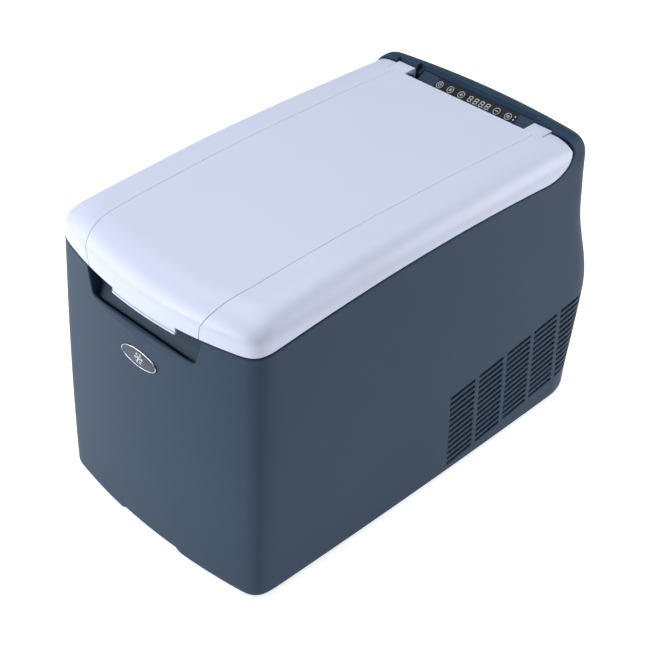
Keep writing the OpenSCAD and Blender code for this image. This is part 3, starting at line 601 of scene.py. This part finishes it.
# After the colour, moulded takes roughness, grain scale, relief, soft edge, variation and coat;
# metal takes roughness, streak stretch, streak scale and soft edge.
MAKERS = {
    "body_plastic": lambda n: moulded(n, BODY_BLUE, 0.55, edge=0.0012, vary=0.04, shine=0.24),
    "lid_plastic": lambda n: moulded(n, LID_WHITE, 0.36, 500, 0.00003, 0.0009, 0.012),
    "base_plastic": lambda n: moulded(n, (0.028, 0.033, 0.042), 0.6, 500, 0.0001),
    "screw_steel": lambda n: metal(n, (0.62, 0.63, 0.65), 0.32),
    "zinc_steel": lambda n: metal(n, (0.60, 0.62, 0.62), 0.4, (1, 6, 6), 90),
    "rubber": lambda n: moulded(n, (0.016, 0.016, 0.017), 0.8, 350, 0.00015, 0.0006),
    "gasket_rubber": lambda n: moulded(n, (0.07, 0.073, 0.08), 0.7, 260, 0.00012, 0.0012),
    "badge_silver": lambda n: metal(n, (0.74, 0.76, 0.79), 0.24, (1, 1, 12), 200, 0.0004),
    "liner_white": lambda n: moulded(n, (0.70, 0.72, 0.74), 0.33, 420, 0.00004, 0.0015, 0.02),
    "foam": lambda n: foam(n, (0.82, 0.70, 0.42)),
    "overlay_dark": lambda n: moulded(n, OVERLAY_INK, 0.5, 900, 0.00001, 0.0003, 0.05, shine=0.18),
    "display_grey": lambda n: moulded(n, WINDOW_GREY, 0.4, 1200, 0.00001, 0.0002, 0.05, shine=0.2),
    "board_green": board,
    "button_dark": lambda n: moulded(n, KEY_GREY, 0.5, 900, 0.00002, 0.0005, 0.05, shine=0.2),
    "led_lens": lambda n: lamp_glass(n, (0.55, 0.66, 0.60), 0.1),
    "cable_grey": lambda n: moulded(n, (0.30, 0.30, 0.32), 0.5, 300, 0.00005, 0.0003),
    "can_black": lambda n: moulded(n, (0.010, 0.010, 0.012), 0.22, 300, 0.00004, 0.0008, 0.1, 0.4),
    "copper_tube": lambda n: metal(n, COPPER, 0.3, (2, 2, 2), 120),
    "fin_aluminium": lambda n: metal(n, (0.78, 0.79, 0.80), 0.36, (1, 1, 14), 180, 0.0001),
    "socket_black": lambda n: moulded(n, (0.014, 0.014, 0.015), 0.42, 600, 0.00003),
    "lamp_lens": lambda n: lamp_glass(n, (0.80, 0.86, 0.92), 0.4),
    "legend": lambda n: moulded(n, LEGEND_GREY, 0.45, 1200, 0.00001, 0.0002, 0.04),
    "badge_field": lambda n: moulded(n, ENAMEL, 0.42, 1500, 0.00002, 0.0003, shine=0.3),
}


def material(slot):
    if slot not in _made:
        _made[slot] = MAKERS[slot](slot)
    return _made[slot]


def paint_cad_nodes():
    """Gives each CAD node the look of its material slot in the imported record."""
    for row in frame["record"]["subparts"]:
        obj = frame["nodes"][row["node"]]
        obj.data.materials.clear()
        obj.data.materials.append(material(row["material_slot"]))


# ---------------------------------------------------------------- body


def slot_cutter(x, z, side):
    """One louvre slot with a rounded mouth, following the swelling side."""
    rings = []
    for depth, grow in SLOT_LEVELS:
        half = SLOT_H / 2 + grow
        ring = []
        for u, v in rectangle(-grow, -half, SLOT_L + grow, half, SLOT_R + grow, 3):
            px, pz = x + u, z + SLOT_SLOPE * u + v
            ring.append((px, side * (side_y(px, pz) - depth), pz))
        rings.append(ring)
    return lofted("slot", rings)


def grille_cutter():
    """All the louvre slots of both sides."""
    slots = []
    for side in (-1, 1):
        for column in range(COLUMNS):
            along = column * COL_PITCH
            base = GRILLE_BASE + SLOT_SLOPE * along + SLOT_H / 2
            for row in range(ROWS):
                slots.append(slot_cutter(COL_X0 + along, base + row * SLOT_PITCH, side))
    return joined("grille", slots)


def joint_cutter():
    """Space over the lid joint, its lower edge turned down to round the body's rim."""
    steps = 4
    rings = []
    for step in range(steps, -1, -1):
        a = math.radians(90 * step / steps)
        rings.append(joint_ring(RIM_R * (1 - math.cos(a)), RIM_R * (1 - math.sin(a))))
    rings.append(joint_ring(-JOINT_MARGIN, RIM_R))
    rings.append(joint_ring(-JOINT_MARGIN, 0, OVER_Z))
    return loft("above_joint", rings)


def grip_half_at(z):
    """Half width of the grip pocket at height z; its ends lean out towards the lid."""
    return GRIP_HALF + GRIP_FLARE * (z - GRIP_BASE) / (GRIP_TOP - GRIP_BASE)


def grip_outline():
    """The pocket's outline in y and z, with points close together, and its outward normals."""
    top, spacing = grip_half_at(GRIP_TOP), 6
    corners = [(-top, GRIP_TOP), (-GRIP_HALF, GRIP_BASE), (GRIP_HALF, GRIP_BASE), (top, GRIP_TOP)]
    outline = rounded(corners, GRIP_CORNER, 8)
    dense = []
    for i, p in enumerate(outline):
        a, b = Vector(p), Vector(outline[(i + 1) % len(outline)])
        steps = max(int((b - a).length / spacing), 1)
        dense += [tuple(a.lerp(b, k / steps)) for k in range(steps)]
    outwards = []
    for i in range(len(dense)):
        along = Vector(dense[(i + 1) % len(dense)]) - Vector(dense[i - 1])
        outwards.append(Vector((along.y, -along.x)).normalized())
    return dense, outwards


def grip_cutter():
    """The grip pocket's mouth: a lip with a straight crest below, rounded into the bowed front."""
    dense, outwards = grip_outline()
    angles = [math.radians(a) for a in (0, 15, 30, 45, 60, 72)]
    full = math.sin(angles[-1])

    def mouth(a, reach=0.0, spread=0.0):
        """The outline at angle a of the rounded edge, moved forward and outwards."""
        ring = []
        for (y, z), n in zip(dense, outwards):
            low = clamp01((LIP_TOP - z) / LIP_BLEND)
            lip = max(LIP_CREST - front_face_x(y, GRIP_BASE), LIP_MIN)
            depth = lip * low + GRIP_EDGE * (1 - low)
            grow = depth * (1 + LIP_TALL * low) * (1 - math.cos(a)) / full + spread
            x = front_face_x(y, z) + depth * (1 - math.sin(a) / full) - reach
            ring.append((x, y + n.x * grow, z + n.y * grow))
        return ring

    rings = [[(GRIP_BACK, y, z) for y, z in dense]]
    rings += [mouth(a) for a in angles]
    rings.append(mouth(angles[-1], MOUTH_REACH, MOUTH_SPREAD))
    rings.append([(MOUTH_X, y, z) for _, y, z in rings[-1]])
    return lofted("grip", rings)


def lip_bar():
    """Backing that makes the front wall thick under the grip pocket."""
    half_steps = 20
    low, high = LIP_BAR_Z, GRIP_BASE + 2
    rings = []
    for i in range(2 * half_steps + 1):
        y = (GRIP_HALF + 1) * (i / half_steps - 1)
        front = [(min(front_face_x(y, z) + 1, LIP_BACK - 0.3), y, z) for z in (low, high)]
        rings.append(front + [(LIP_BACK, y, high), (LIP_BACK, y, low)])
    return lofted("lip_bar", rings)


def notch_cutter():
    """The opening between the front feet, with sloping ends."""
    half = [(49, 12), (64, BASE_Z), (66, -8)]
    outline = rounded([(-y, z) for y, z in reversed(half)] + half, 3, 4)
    return prism("notch", outline, FRONT_X - 10, FRONT_X + 50, front_place)


def rod(name, x, z, r, y0, y1):
    """A round bar along Y."""
    return prism(name, disc(x, z, r, 48), y0, y1, side_place)


def block(name, low, high, radius=0.4):
    """A box between two corners, its upright edges rounded."""
    outline = rectangle(low[0], low[1], high[0], high[1], radius, 2)
    return prism(name, outline, low[2], high[2], flat_place)


def recess_cutter():
    """Space over the sloped control panel, between the hinge lugs."""
    sloped = [(231, 374), (236, 379.2), (HOOD_IN_X, 394), (HOOD_IN_X, OVER_Z), (231, OVER_Z)]
    half = LUG_IN - 1.5
    return prism("recess", rounded(sloped, 0.6, 2), -half, half, side_place)


def seat_cutter():
    """The shallow seat of the control panel in the sloped face."""
    half = PANEL_W + 1
    outline = rectangle(-PANEL_HALF, -half, PANEL_HALF, half, 0.5, 2)
    return prism("seat", outline, -26, 1, panel_place)


def lug_cutters(side):
    """Space round one hinge lug and the lid's rounded end beside it."""
    far = HINGE_X + LUG_R + LUG_CLEAR
    inside, outside = side * (LUG_IN - LUG_WELL), side * (LUG_OUT + LUG_SIDE_CLEAR)
    well = sorted((inside, outside))
    gap = sorted((side * (LUG_IN - LUG_GAP), outside))
    return [
        rod("edge", HINGE_X, HINGE_Z, LID_END_R, side * (LUG_OUT + 1), side * (HALF_W - 8)),
        rod("lug", HINGE_X, HINGE_Z, LUG_R + LUG_CLEAR, inside, outside),
        block("well", (WELL_X, well[0], WELL_Z), (far, well[1], HINGE_Z)),
        block("gap", (HINGE_X, gap[0], HINGE_Z - 1), (far, gap[1], OVER_Z)),
    ]


def badge_place(y, v, out):
    """A point on the badge: across, up along the leaning face and out of it."""
    t = math.atan((front_at(BADGE_Z + 5) - front_at(BADGE_Z - 5)) / 10)
    return (
        front_at(BADGE_Z) + v * math.sin(t) - out * math.cos(t),
        y,
        BADGE_Z + v * math.cos(t) + out * math.sin(t),
    )


QUARTER = [math.radians(a) for a in range(0, 91, 15)]


def body_solid():
    """The body before it is hollowed and opened."""
    rings = []
    for a in QUARTER:
        rings.append(side_ring(BASE_Z + FOOT_R * (1 - math.cos(a)), FOOT_R * (1 - math.sin(a))))
    rings += [side_ring(z, 0) for z in range(15, 346, 10)]
    rings += [roll_ring(math.radians(a)) for a in (*range(0, 90, 8), 90)]
    return loft("body_shell_visual", rings)


def cavity_cutter():
    """The hollow inside the body's walls, rounded at the bottom."""
    floor_z, r = BASE_Z + 7, 15
    rings = []
    for a in QUARTER[1:]:
        rings.append(side_ring(floor_z + r * (1 - math.cos(a)), WALL + r * (1 - math.sin(a))))
    rings += [side_ring(z, WALL) for z in (*range(40, 335, 20), 338)]
    return loft("cavity", rings)


def body_shell():
    """The outer body: hollow, open above and below, with every pocket cut into it."""
    shell = body_solid()
    cut(shell, [joint_cutter(), cavity_cutter()])
    cut(shell, [lip_bar()], "UNION")
    cutters = [
        prism("mouth", rectangle(-275, -172, 222, 172, 30, 10), 330, OVER_Z, flat_place),
        prism("opening", rectangle(-284, -150, 266, 150, 24, 8), -1, BASE_Z + 3, flat_place),
        prism("step", rectangle(-272, -138, 254, 138, 18, 8), -1, 20, flat_place),
        grip_cutter(),
        notch_cutter(),
        recess_cutter(),
        seat_cutter(),
        *lug_cutters(-1),
        *lug_cutters(1),
        prism("badge", disc(0, 0, BADGE_SEAT_R, 64, BADGE_SEAT_LONG), -1.3, 6, badge_place),
        block("inlet", (296, -60, 62), (330, 60, 112), 1),
        grille_cutter(),
    ]
    cut(shell, cutters)
    finish_piece(shell, "body", ["body_shell"], "body_plastic")


def grip_scoop():
    """Liner of the grip pocket: back wall, finger ledge and the dark gutter behind the lip."""
    wall, top = GRIP_BACK - 0.2, JOINT_Z - 3
    profile = [(wall, top), (wall, 334), (-285.3, 327), (-286.6, 321.5), (-288.6, 317)]
    profile += [(-291.3, 313.4), (-294, 310.9), (-295.8, 309.7), (-296.5, 308.8)]
    profile += [(-296.6, 307.6), (-296, 306), (-293.5, 304.2), (-291.5, 303), (-291.5, 291.5)]
    profile += [(-293, 290), (-300.6, 290), (-302, 291.5), (-302.1, 300)]
    profile.append((-302.1, GRIP_BASE - 2))
    n, count = len(profile), 25
    points, faces = [], []
    for k in range(count):
        across = 2 * k / (count - 1) - 1
        points += [(x, across * (grip_half_at(z) + SCOOP_SIDE), z) for x, z in profile]
    for k in range(count - 1):
        here, ahead = k * n, (k + 1) * n
        faces += [(here + i, here + i + 1, ahead + i + 1, ahead + i) for i in range(n - 1)]
    for k, side in ((0, -1), (count - 1, 1)):
        first = len(points)
        for z in (GRIP_BASE, 325, top):
            y = side * (grip_half_at(z) + SCOOP_SIDE)
            points.append((front_face_x(y, z) + 1.6, y, z))
        faces.append((*range(k * n, k * n + n), *range(first, first + 3)))
    scoop = mesh_object("grip_scoop", points, faces)
    modifier = scoop.modifiers.new("wall", "SOLIDIFY")
    modifier.thickness = SCOOP_WALL * MM
    modifier.offset = 0.0
    apply_modifiers(scoop)
    finish_piece(scoop, "body", ["grip_insert"], "body_plastic", 40)


# ---------------------------------------------------------------- lid

LID_SIDE_STEPS = 90
LID_LEVELS = 30


def lid_foot(x):
    """Height where the lid's side starts to roll over; it rises towards the front."""
    rise = LID_RISE * clamp01((LID_RISE_X - x) / LID_RISE_SPAN) ** LID_RISE_POWER
    return max(SIDE_ROLL_Z, joint_at(min(x, LID_FLAT_X)) + LID_EDGE_H + rise)


def lid_point(x, y_core, front_share, side_share, f, inset, drop):
    """A point of the lid, the fraction f of the way from its lower edge to its flat top.

    The shares say how much of the roll goes towards the middle in x and in y.
    """
    foot = lid_foot(x)
    top = lid_top(x) - inset
    low = joint_at(x) + JOINT_GAP - drop
    start = math.asin(clamp01((low - foot) / (top - foot)))
    straight = max(foot - low, 0)
    path = f * (straight + LID_ROLL_LENGTH * (math.pi / 2 - start) / (math.pi / 2))
    a = 0.0
    if path >= straight:
        a = start + (path - straight) / LID_ROLL_LENGTH * math.pi / 2
    x_here = x + (1 - math.cos(a)) * front_share * (CORNER_FRONT - inset)
    y_here = y_core + (LID_ROLL_Y - inset) * math.cos(a) * side_share
    top_here = lid_top(x_here) - inset
    z = low + path if path < straight else foot + (top_here - foot) * math.sin(a)
    return (x_here, barrel(x_here, y_here), z)


def lid_ring(f, inset, drop):
    """The lid's outline at the fraction f of the way up, moved in and its lower edge down."""
    w = HALF_W - LID_INSET - inset
    core = w - LID_ROLL_Y + inset
    bow = FRONT_BOW_TOP
    core_f = FRONT_X + FRONT_LEAN + inset + LID_FRONT_INSET + bow + CORNER_FRONT
    end = LID_END_X - inset
    half = []
    for i in range(LID_SIDE_STEPS + 1):
        x = end + (core_f - end) * i / LID_SIDE_STEPS
        half.append(lid_point(x, core, 0, 1, f, inset, drop))
    for a in CORNER_ANGLES:
        c0, c1 = corner(a)
        y = core + (LID_ROLL_Y - inset) * c1
        x = core_f - bow * (1 - (y / w) ** 2) - CORNER_FRONT * c0
        half.append(lid_point(x, core, c0, c1, f, inset, drop))
    for i in range(FACE_STEPS):
        y = core * (FACE_STEPS - i - 0.5) / FACE_STEPS
        x = core_f - bow * (1 - (y / w) ** 2) - CORNER_FRONT
        half.append(lid_point(x, y, 1, 0, f, inset, drop))
    return mirrored(half)


def lid_solid(name, inset, drop):
    return loft(name, [lid_ring(k / LID_LEVELS, inset, drop) for k in range(LID_LEVELS + 1)])


def groove_path(side):
    """Path of the fine groove from the lug forward over the lid and down its front."""
    top_steps, roll_steps = 40, 24
    x_end, x_roll = 226, -232
    y_end, y_roll, y_in = 120.5, 115, 13
    path = []
    for i in range(top_steps + 1):
        x = x_end - (x_end - x_roll) * i / top_steps
        path.append((x, side * (y_end - (y_end - y_roll) * i / top_steps), lid_top(x)))
    w = HALF_W - LID_INSET
    for i in range(1, roll_steps + 1):
        a = math.radians(90 * (1 - i / roll_steps))
        y = y_roll - y_in * (i / roll_steps) ** 1.5
        outline_x = FRONT_X + FRONT_LEAN + LID_FRONT_INSET + FRONT_BOW_TOP * (y / w) ** 2
        foot = lid_foot(outline_x)
        x = outline_x + CORNER_FRONT * (1 - math.cos(a))
        path.append((x, side * barrel(x, y), foot + (lid_top(x) - foot) * math.sin(a)))
    x, y, z = path[-1]
    return path + [(x, y - side * 2, z - 12), (x, y - side * 4, z - 26)]


def tube(name, path, radius, sides=8):
    """Thin closed tube along a path."""
    rings = []
    last = len(path) - 1
    for k, p in enumerate(path):
        ahead = Vector(path[min(k + 1, last)]) - Vector(path[max(k - 1, 0)])
        ahead.normalize()
        across = ahead.cross(Vector((0, 1, 0))).normalized()
        up = ahead.cross(across).normalized()
        ring = []
        for i in range(sides):
            t = 2 * math.pi * i / sides
            ring.append(Vector(p) + (across * math.cos(t) + up * math.sin(t)) * radius)
        rings.append(ring)
    return lofted(name, rings)


def lid_shell():
    """The lid's skin, open below, with a web that closes its end between the lugs."""
    half, web_x = LUG_OUT + 1, LID_MID_X - 3
    shell = lid_solid("lid_shell_visual", 0, 0)
    cutters = [lid_solid("inside", WALL, 8)]
    cutters.append(block("lid_end", (LID_MID_X, -half, 340), (LID_END_X + 5, half, OVER_Z)))
    cutters += [tube("groove", groove_path(side), GROOVE_R) for side in (-1, 1)]
    cut(shell, cutters)
    web = block("web", (web_x, -half, 366), (LID_MID_X, half, lid_top(LID_MID_X) - 1))
    shell = joined("lid_shell_visual", [shell, web])
    finish_piece(shell, "lid", ["lid_outer_shell"], "lid_plastic", 28)


# ---------------------------------------------------------------- badge


def bar(name, start, end, half, low, high, place):
    """A small straight bar between two points of a plane, with pointed ends."""
    a, b = Vector(start), Vector(end)
    along = (b - a).normalized()
    across = Vector((-along.y, along.x)) * half
    outline = [a - across, b - across, b + along * half, b + across, a + across, a - along * half]
    return prism(name, [tuple(p) for p in outline], low, high, place)


def polar(radius, degrees):
    a = math.radians(degrees)
    return (radius * math.cos(a), radius * math.sin(a))


def badge():
    """Blank oval: a rounded silver rim round a plain enamel field with a small ice crystal."""
    profile = [(BADGE_R, -0.6), (BADGE_R, 0.7), (11.9, 1.0), (11.6, 1.15), (FIELD_R, 1.0)]
    profile += [(11.0, 0.7), (11.0, -0.6)]
    rim = turned("badge_rim", profile, badge_place, 96, BADGE_STRETCH, closed=True)
    finish_piece(rim, "body", ["badge_plate"], "badge_silver")

    oval = disc(0, 0, FIELD_R, 96, FIELD_LONG)
    field = prism("badge_field", oval, -0.8, 0.35, badge_place)
    finish_piece(bevelled(field, 0.2), "body", [], "badge_silver", look="badge_field")

    low, high = 0.3, 0.7
    arms = []
    for k in range(6):
        turn = 60 * k
        arms.append(bar("arm", (0, 0), polar(7.6, turn), 0.5, low, high, badge_place))
        for fork in (-40, 40):
            root = polar(4.2, turn)
            tip = tuple(r + t for r, t in zip(root, polar(3.0, turn + fork)))
            arms.append(bar("twig", root, tip, 0.38, low, high, badge_place))
    finish_piece(joined("badge_crystal", arms), "body", [], "badge_silver")


# ---------------------------------------------------------------- controls

# The seven bars of a digit, between points one unit wide and two high about its middle.
SEGMENTS = (
    ((-1, 2), (1, 2)),
    ((-1, 0), (1, 0)),
    ((-1, -2), (1, -2)),
    ((-1, 0), (-1, 2)),
    ((1, 0), (1, 2)),
    ((-1, -2), (-1, 0)),
    ((1, -2), (1, 0)),
)
DIGIT_PITCH = 9.8
DIGIT_ALONG, DIGIT_W, DIGIT_H, DIGIT_SLANT = 4.5, 2.5, 2.05, 0.25
BAR_HALF, BAR_TRIM = 0.5, 0.62
LINE, BOLD = 0.34, 0.45  # half widths of the keys' symbols
PRINT = (-0.42, -0.33)  # depth of the digits' print below the panel's face


def key_place(y_key):
    """Places a drawing on a key: u to the reader's right, v up along the slope."""

    def place(u, v, out):
        return panel_place(KEY_ALONG + v, y_key - u, out)

    return place


def flat_ring(name, radius, half, low, high, place, start=0, end=360, n=48):
    """A flat ring, or part of one between two angles in degrees."""
    turns = [math.radians(start + (end - start) * i / n) for i in range(n + 1)]
    outer, inner = radius + half, radius - half
    corners = ((outer, low), (outer, high), (inner, high), (inner, low))
    points, faces = [], []
    for t in turns:
        points += [place(r * math.cos(t), r * math.sin(t), out) for r, out in corners]
    for k in range(0, 4 * n, 4):
        for a in range(4):
            b = (a + 1) % 4
            faces.append((k + a, k + b, k + 4 + b, k + 4 + a))
    if end - start < 360:
        faces += [(0, 1, 2, 3), (n * 4, n * 4 + 1, n * 4 + 2, n * 4 + 3)]
    return mesh_object(name, points, faces)


def icon(kind, place, low, high):
    """Plain symbol of a key, from straight lines and an arc."""

    def line(a, b, half=LINE):
        return bar("line", a, b, half, low, high, place)

    if kind == "power":
        arc = flat_ring("arc", 2.2, LINE, low, high, place, 120, 420, 30)
        return [arc, line((0, 0.6), (0, 2.9))]
    if kind == "mode":
        return [line(polar(-2.6, 60 * k), polar(2.6, 60 * k)) for k in range(3)]
    if kind == "plus":
        return [line((-2.4, 0), (2.4, 0), BOLD), line((0, -2.4), (0, 2.4), BOLD)]
    if kind == "minus":
        return [line((-2.4, 0), (2.4, 0), BOLD)]
    return [line((-2.4, v), (2.4, v)) for v in (-1.5, 0, 1.5)]


def keys():
    """Dished round keys with pale rings and plain symbols."""
    stem_r, skirt = 2.2, -2.9
    profile = [(stem_r, -8.2), (stem_r, skirt), (KEY_R, skirt), (KEY_R, 0.45)]
    profile += [(KEY_R - 0.25, 0.8), (KEY_R - 0.6, KEY_TOP), (4.3, KEY_TOP - 0.05)]
    profile += [(2.2, KEY_TOP - 0.22), (0.01, KEY_TOP - 0.28)]
    for kind, y_key in KEY_YS.items():
        place = key_place(y_key)
        cap = turned(f"key_{kind}_cap", profile, place, 56)
        finish_piece(cap, f"key_{kind}", [f"button_{kind}"], "button_dark")
        marks = [flat_ring("ring", KEY_R - 0.95, 0.36, KEY_TOP - 0.3, KEY_TOP + 0.03, place)]
        marks += icon(kind, place, KEY_TOP - 0.4, KEY_TOP + 0.02)
        marks = joined(f"key_{kind}_marks", marks)
        finish_piece(marks, f"key_{kind}", [], "display_grey", look="legend")


def display():
    """Four seven-segment digits behind a dark window."""
    low_y, high_y = DISPLAY_Y
    outline = rectangle(-1.4, low_y + 0.6, 10.4, high_y - 0.6, 0.8, 4)
    window = prism("display_window", outline, -9.2, -0.4, panel_place)
    finish_piece(bevelled(window, 0.25), "body", ["display_module"], "display_grey")
    marks = []
    for digit in range(4):
        centre = (low_y + high_y) / 2 + 1.5 * DIGIT_PITCH - DIGIT_PITCH * digit
        for segment in SEGMENTS:
            a, b = (
                Vector((DIGIT_ALONG + v * DIGIT_H, centre - u * DIGIT_W - v * DIGIT_SLANT))
                for u, v in segment
            )
            trim = (b - a).normalized() * BAR_TRIM
            marks.append(bar("segment", a + trim, b - trim, BAR_HALF, *PRINT, panel_place))
        marks.append(prism("dot", disc(0.2, centre - 4.2, 0.5, 12), *PRINT, panel_place))
    marks = joined("display_digits", marks)
    finish_piece(marks, "body", [], "display_grey", look="legend")


def overlay():
    """Printed strip with openings for the keys, the window and two lamps."""
    low_y, high_y = DISPLAY_Y
    outline = rectangle(-13, OVERLAY_Y[0], PANEL_HALF - 1.5, OVERLAY_Y[1], 3.5, 6)
    strip = prism("overlay_strip", outline, -0.8, 0, panel_place)
    openings = [disc(KEY_ALONG, y, KEY_R + 0.3, 48) for y in KEY_YS.values()]
    openings.append(rectangle(-1.5, low_y + 0.5, 10.5, high_y - 0.5, 0.9, 4))
    openings += [disc(along, LAMP_Y, LAMP_R, 24) for along in LAMPS_ALONG]
    cut(strip, [prism("hole", opening, -2, 2, panel_place) for opening in openings])
    finish_piece(strip, "body", ["control_overlay"], "overlay_dark")


# ---------------------------------------------------------------- studio, in metres and watts

FLOOR_HALF = 20.0
FLOOR_GLOW = 0.72
SKY_GLOW = 0.06

# name, place, size, power, what it points at
LIGHTS = (
    ("key_left", (-2.1, 2.0, 1.5), (2.4, 2.0), 58, (0, 0, 0.2)),
    ("front_low", (-2.6, 0.8, 1.0), (1.0, 0.8), 20, (-0.3, 0, 0.32)),
    ("fill_right", (2.0, -1.8, 1.3), (1.6, 1.6), 38, (0, 0, 0.2)),
    ("overhead", (0.15, 0.15, 2.6), (2.4, 2.4), 46, (0, 0, 0.2)),
)

CAMERA_AT = (-1.1104, -1.1441, 1.3678)
CAMERA_YAW, CAMERA_PITCH, CAMERA_ROLL = 46.30, 37.226, 0.505
CAMERA_LENS, CAMERA_SENSOR = 85.22, 36


def floor():
    """The plain pale floor, lit a little from itself so that it stays white."""
    s = FLOOR_HALF
    corners = [(-s, -s, 0), (s, -s, 0), (s, s, 0), (-s, s, 0)]
    ground = mesh_object("studio_floor", corners, [(0, 1, 2, 3)], 1.0)
    mat, nodes, links, shader, where = new_material("studio_white")
    grain = noise(nodes, links, where, 40, 3)
    links.new(ramp(nodes, links, grain, 0.66, 0.68), shader.inputs["Base Color"])
    shader.inputs["Roughness"].default_value = 0.9
    shader.inputs["Emission Color"].default_value = (1, 1, 1, 1)
    shader.inputs["Emission Strength"].default_value = FLOOR_GLOW
    bump(nodes, links, shader, grain, 0.0001, 0.1)
    ground.data.materials.append(mat)


def softbox(name, place, size, power, aim):
    """A rectangular lamp that points at aim."""
    light = bpy.data.lights.new(name, "AREA")
    light.shape = "RECTANGLE"
    light.size, light.size_y = size
    light.energy = power
    lamp = bpy.data.objects.new(name, light)
    lamp.location = place
    lamp.rotation_euler = (Vector(place) - Vector(aim)).to_track_quat("Z", "Y").to_euler()
    bpy.context.scene.collection.objects.link(lamp)


def studio():
    world = bpy.data.worlds.new("studio")
    world.use_nodes = True
    sky = world.node_tree.nodes["Background"]
    sky.inputs["Color"].default_value = (0.97, 0.985, 1, 1)
    sky.inputs["Strength"].default_value = SKY_GLOW
    bpy.context.scene.world = world
    for light in LIGHTS:
        softbox(*light)
    bpy.context.scene.view_settings.view_transform = "Standard"


def camera():
    """Camera three quarters from the front and right, looking down on the cooler."""
    angles = (CAMERA_YAW, CAMERA_PITCH, CAMERA_ROLL)
    yaw, pitch, roll = (math.radians(angle) for angle in angles)
    ahead = math.cos(pitch)
    forward = Vector((ahead * math.cos(yaw), ahead * math.sin(yaw), -math.sin(pitch)))
    level = Vector((math.sin(yaw), -math.cos(yaw), 0))
    down = forward.cross(level)
    right = level * math.cos(roll) + down * math.sin(roll)
    up = level * math.sin(roll) - down * math.cos(roll)
    data = bpy.data.cameras.new("camera")
    data.sensor_width = CAMERA_SENSOR
    data.lens = CAMERA_LENS
    obj = bpy.data.objects.new("camera", data)
    turn = Matrix((right, up, -forward)).transposed().to_4x4()
    obj.matrix_world = Matrix.Translation(Vector(CAMERA_AT)) @ turn
    bpy.context.scene.collection.objects.link(obj)
    bpy.context.scene.camera = obj


camera()
paint_cad_nodes()
body_shell()
grip_scoop()
lid_shell()
badge()
overlay()
keys()
display()
floor()
studio()
